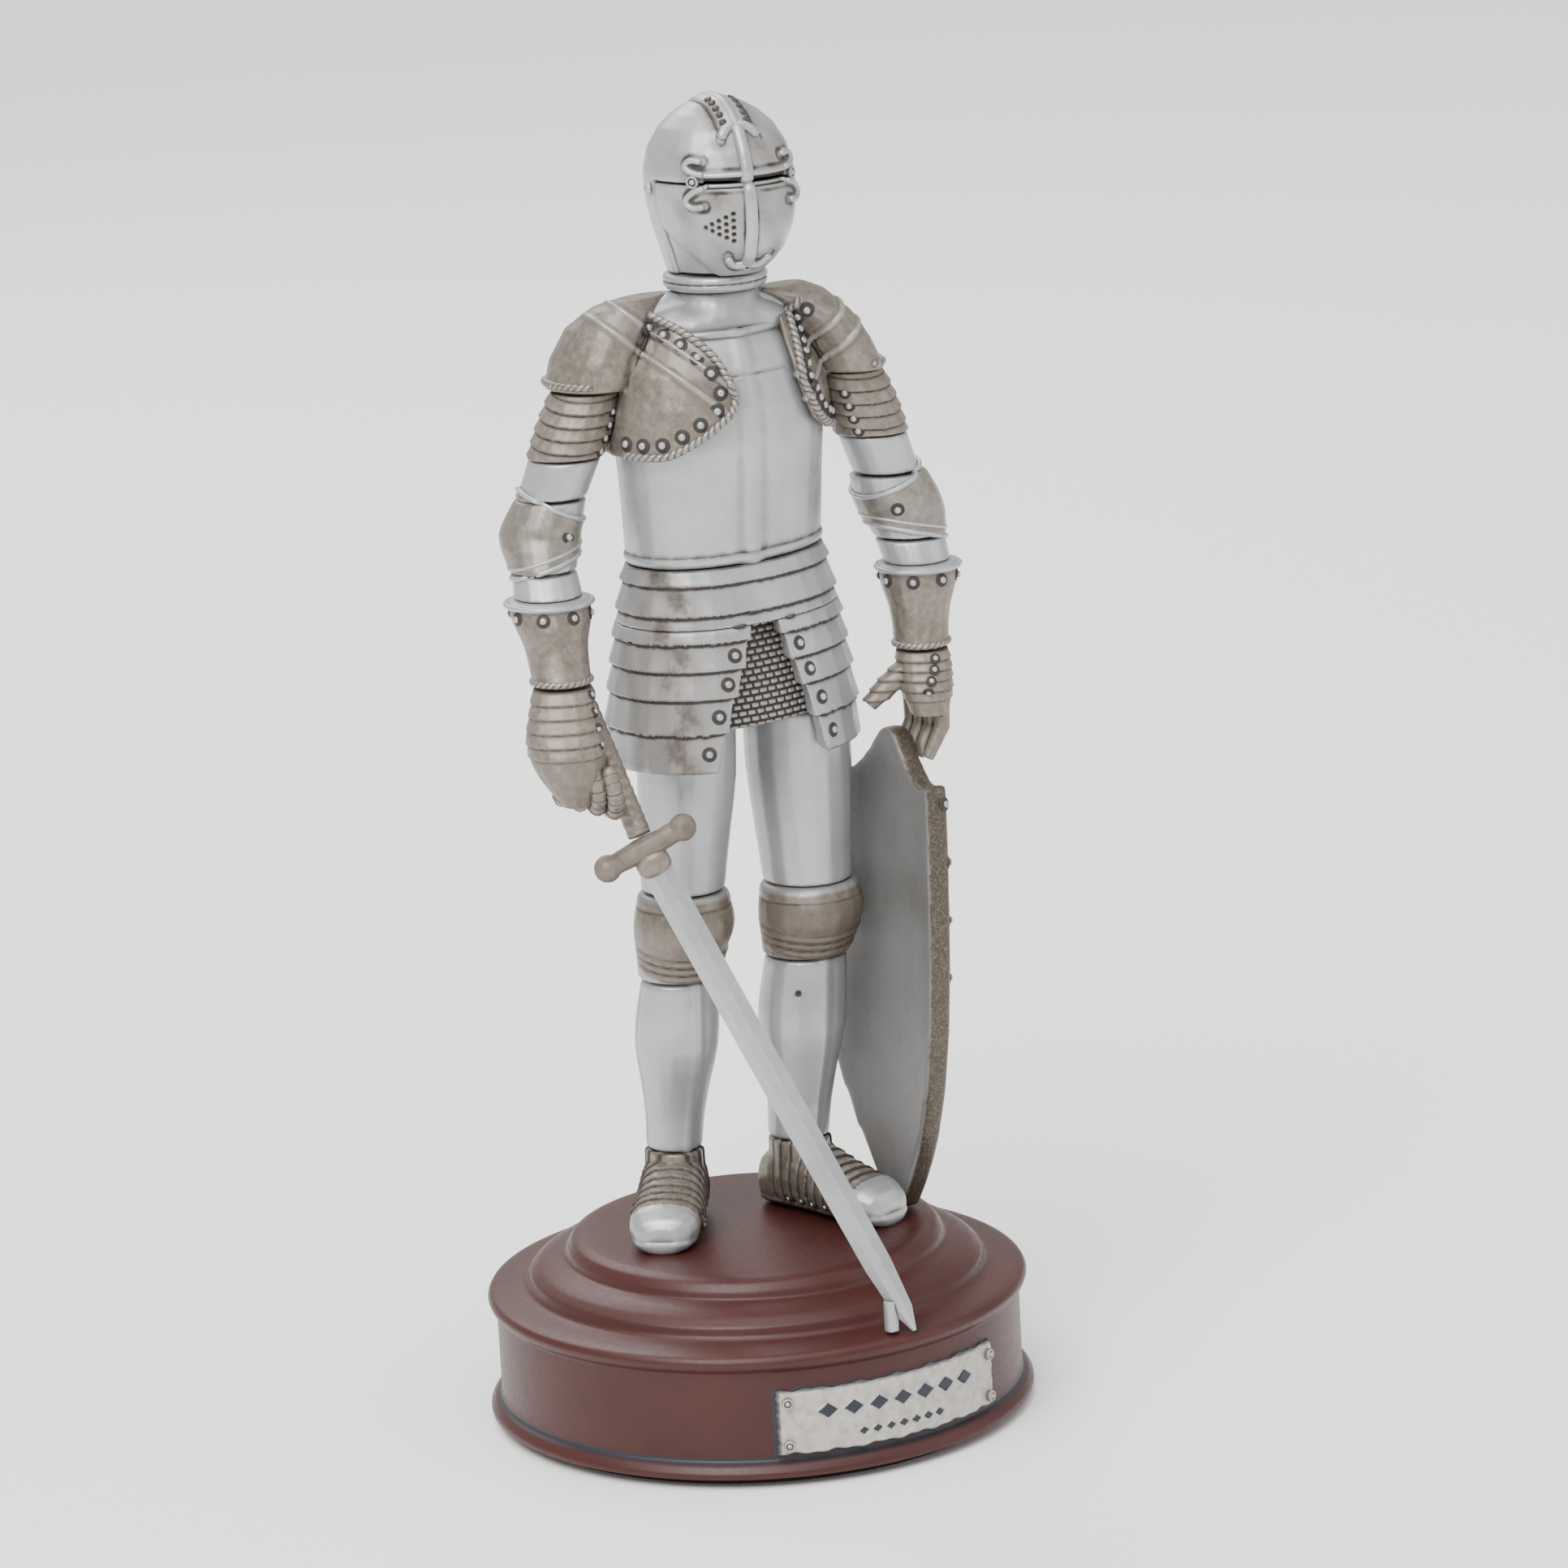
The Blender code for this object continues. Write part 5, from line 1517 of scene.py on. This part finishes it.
def finish_rest():
    """Paints the nodes that keep their CAD meshes, and closes the glue lines of the limbs from within."""
    for node, material in KEPT_NODES.items():
        node_mesh(node).materials.clear()
        node_mesh(node).materials.append(material)
    for side in SIGN:
        for limb, (parts, width) in CORES.items():
            path = []
            for part in parts:
                line = MiddleLine(f"{side}_{part}")
                path += [line.point(h) for h in (line.high - 1.0, (line.high + line.low) / 2, line.low + 1.0)]
            if limb == "leg":
                path.append(path[-1] - UP * 4.0)
            facing = Vector((1, 0, 0))
            core = sweep("core", [(place, facing) for place in path], width, width, wash=0.7, step=1.0)
            trim(f"{side}_{limb}_core", [core], slot="pewter_paint")


FLOOR_REACH = 12.0
LIGHT_TARGET = Vector((0, 0, 0.1))
PANELS = (  # name, place in metres, size, power
    ("key", (-0.75, -0.55, 1.05), 0.7, 15.0),
    ("fill", (0.95, -0.75, 0.65), 0.9, 3.0),
    ("back", (0.15, 0.9, 0.95), 0.7, 7.0),
)


def stage_light(name, kind, energy, rotation, place=(0, 0, 0)):
    data = bpy.data.lights.new(name, kind)
    data.energy = energy
    light = bpy.data.objects.new(name, data)
    light.location = place
    light.rotation_euler = rotation
    bpy.context.scene.collection.objects.link(light)
    return data


def make_stage():
    """A plain pale floor and soft light from large panels."""
    mesh = bpy.data.meshes.new("floor")
    corners = [(x * FLOOR_REACH, y * FLOOR_REACH, 0) for x, y in ((-1, -1), (1, -1), (1, 1), (-1, 1))]
    mesh.from_pydata(corners, [], [(0, 1, 2, 3)])
    floor = bpy.data.objects.new("floor", mesh)
    bpy.context.scene.collection.objects.link(floor)
    material, tree, shader = start_material("floor")
    connect(tree, shader, {"Base Color": (0.92, 0.918, 0.915), "Roughness": 0.9})
    mesh.materials.append(material)

    world = bpy.data.worlds.new("soft light")
    bpy.context.scene.world = world
    world.use_nodes = True
    background = world.node_tree.nodes["Background"]
    connect(world.node_tree, background, {"Color": (1.0, 0.995, 0.985), "Strength": 0.72})
    for name, place, size, power in PANELS:
        aim = (LIGHT_TARGET - Vector(place)).to_track_quat("-Z", "Y").to_euler()
        stage_light(name, "AREA", power, aim, place).size = size
    overhead = stage_light("overhead", "SUN", 2.6, (math.radians(14), math.radians(-16), 0))
    overhead.angle = math.radians(70)


CAMERA_DISTANCE = 1.0
CAMERA_LENS = 154.2


def make_camera():
    """One metre away, to the figure's right and a little above it, with a slight roll."""
    azimuth = math.radians(30.7)
    elevation = math.radians(13.7)
    roll = math.radians(-3.0)
    back = Vector((
        -math.sin(azimuth) * math.cos(elevation),
        -math.cos(azimuth) * math.cos(elevation),
        math.sin(elevation),
    ))
    level = Vector((math.cos(azimuth), -math.sin(azimuth), 0))
    upward = back.cross(level)
    right = level * math.cos(roll) + upward * math.sin(roll)
    up = -level * math.sin(roll) + upward * math.cos(roll)
    target = level * 0.008 + UP * 0.096
    data = bpy.data.cameras.new("camera")
    data.sensor_width = 36.0
    data.lens = CAMERA_LENS
    data.clip_start = 0.01
    camera = bpy.data.objects.new("camera", data)
    pose = Matrix((right, up, back)).transposed().to_4x4()
    pose.translation = target + back * CAMERA_DISTANCE
    camera.matrix_world = pose
    bpy.context.scene.collection.objects.link(camera)
    bpy.context.scene.camera = camera


def main():
    make_camera()
    make_base()
    make_name_plate()
    make_helmet()
    make_trunk()
    for side in SIGN:
        make_pauldron(side)
        make_arm(side)
        make_leg(side)
    make_hips()
    for side in SIGN:
        make_hand(side)
    right_fingers()
    make_sword()
    make_shield()
    finish_rest()
    make_stage()


main()
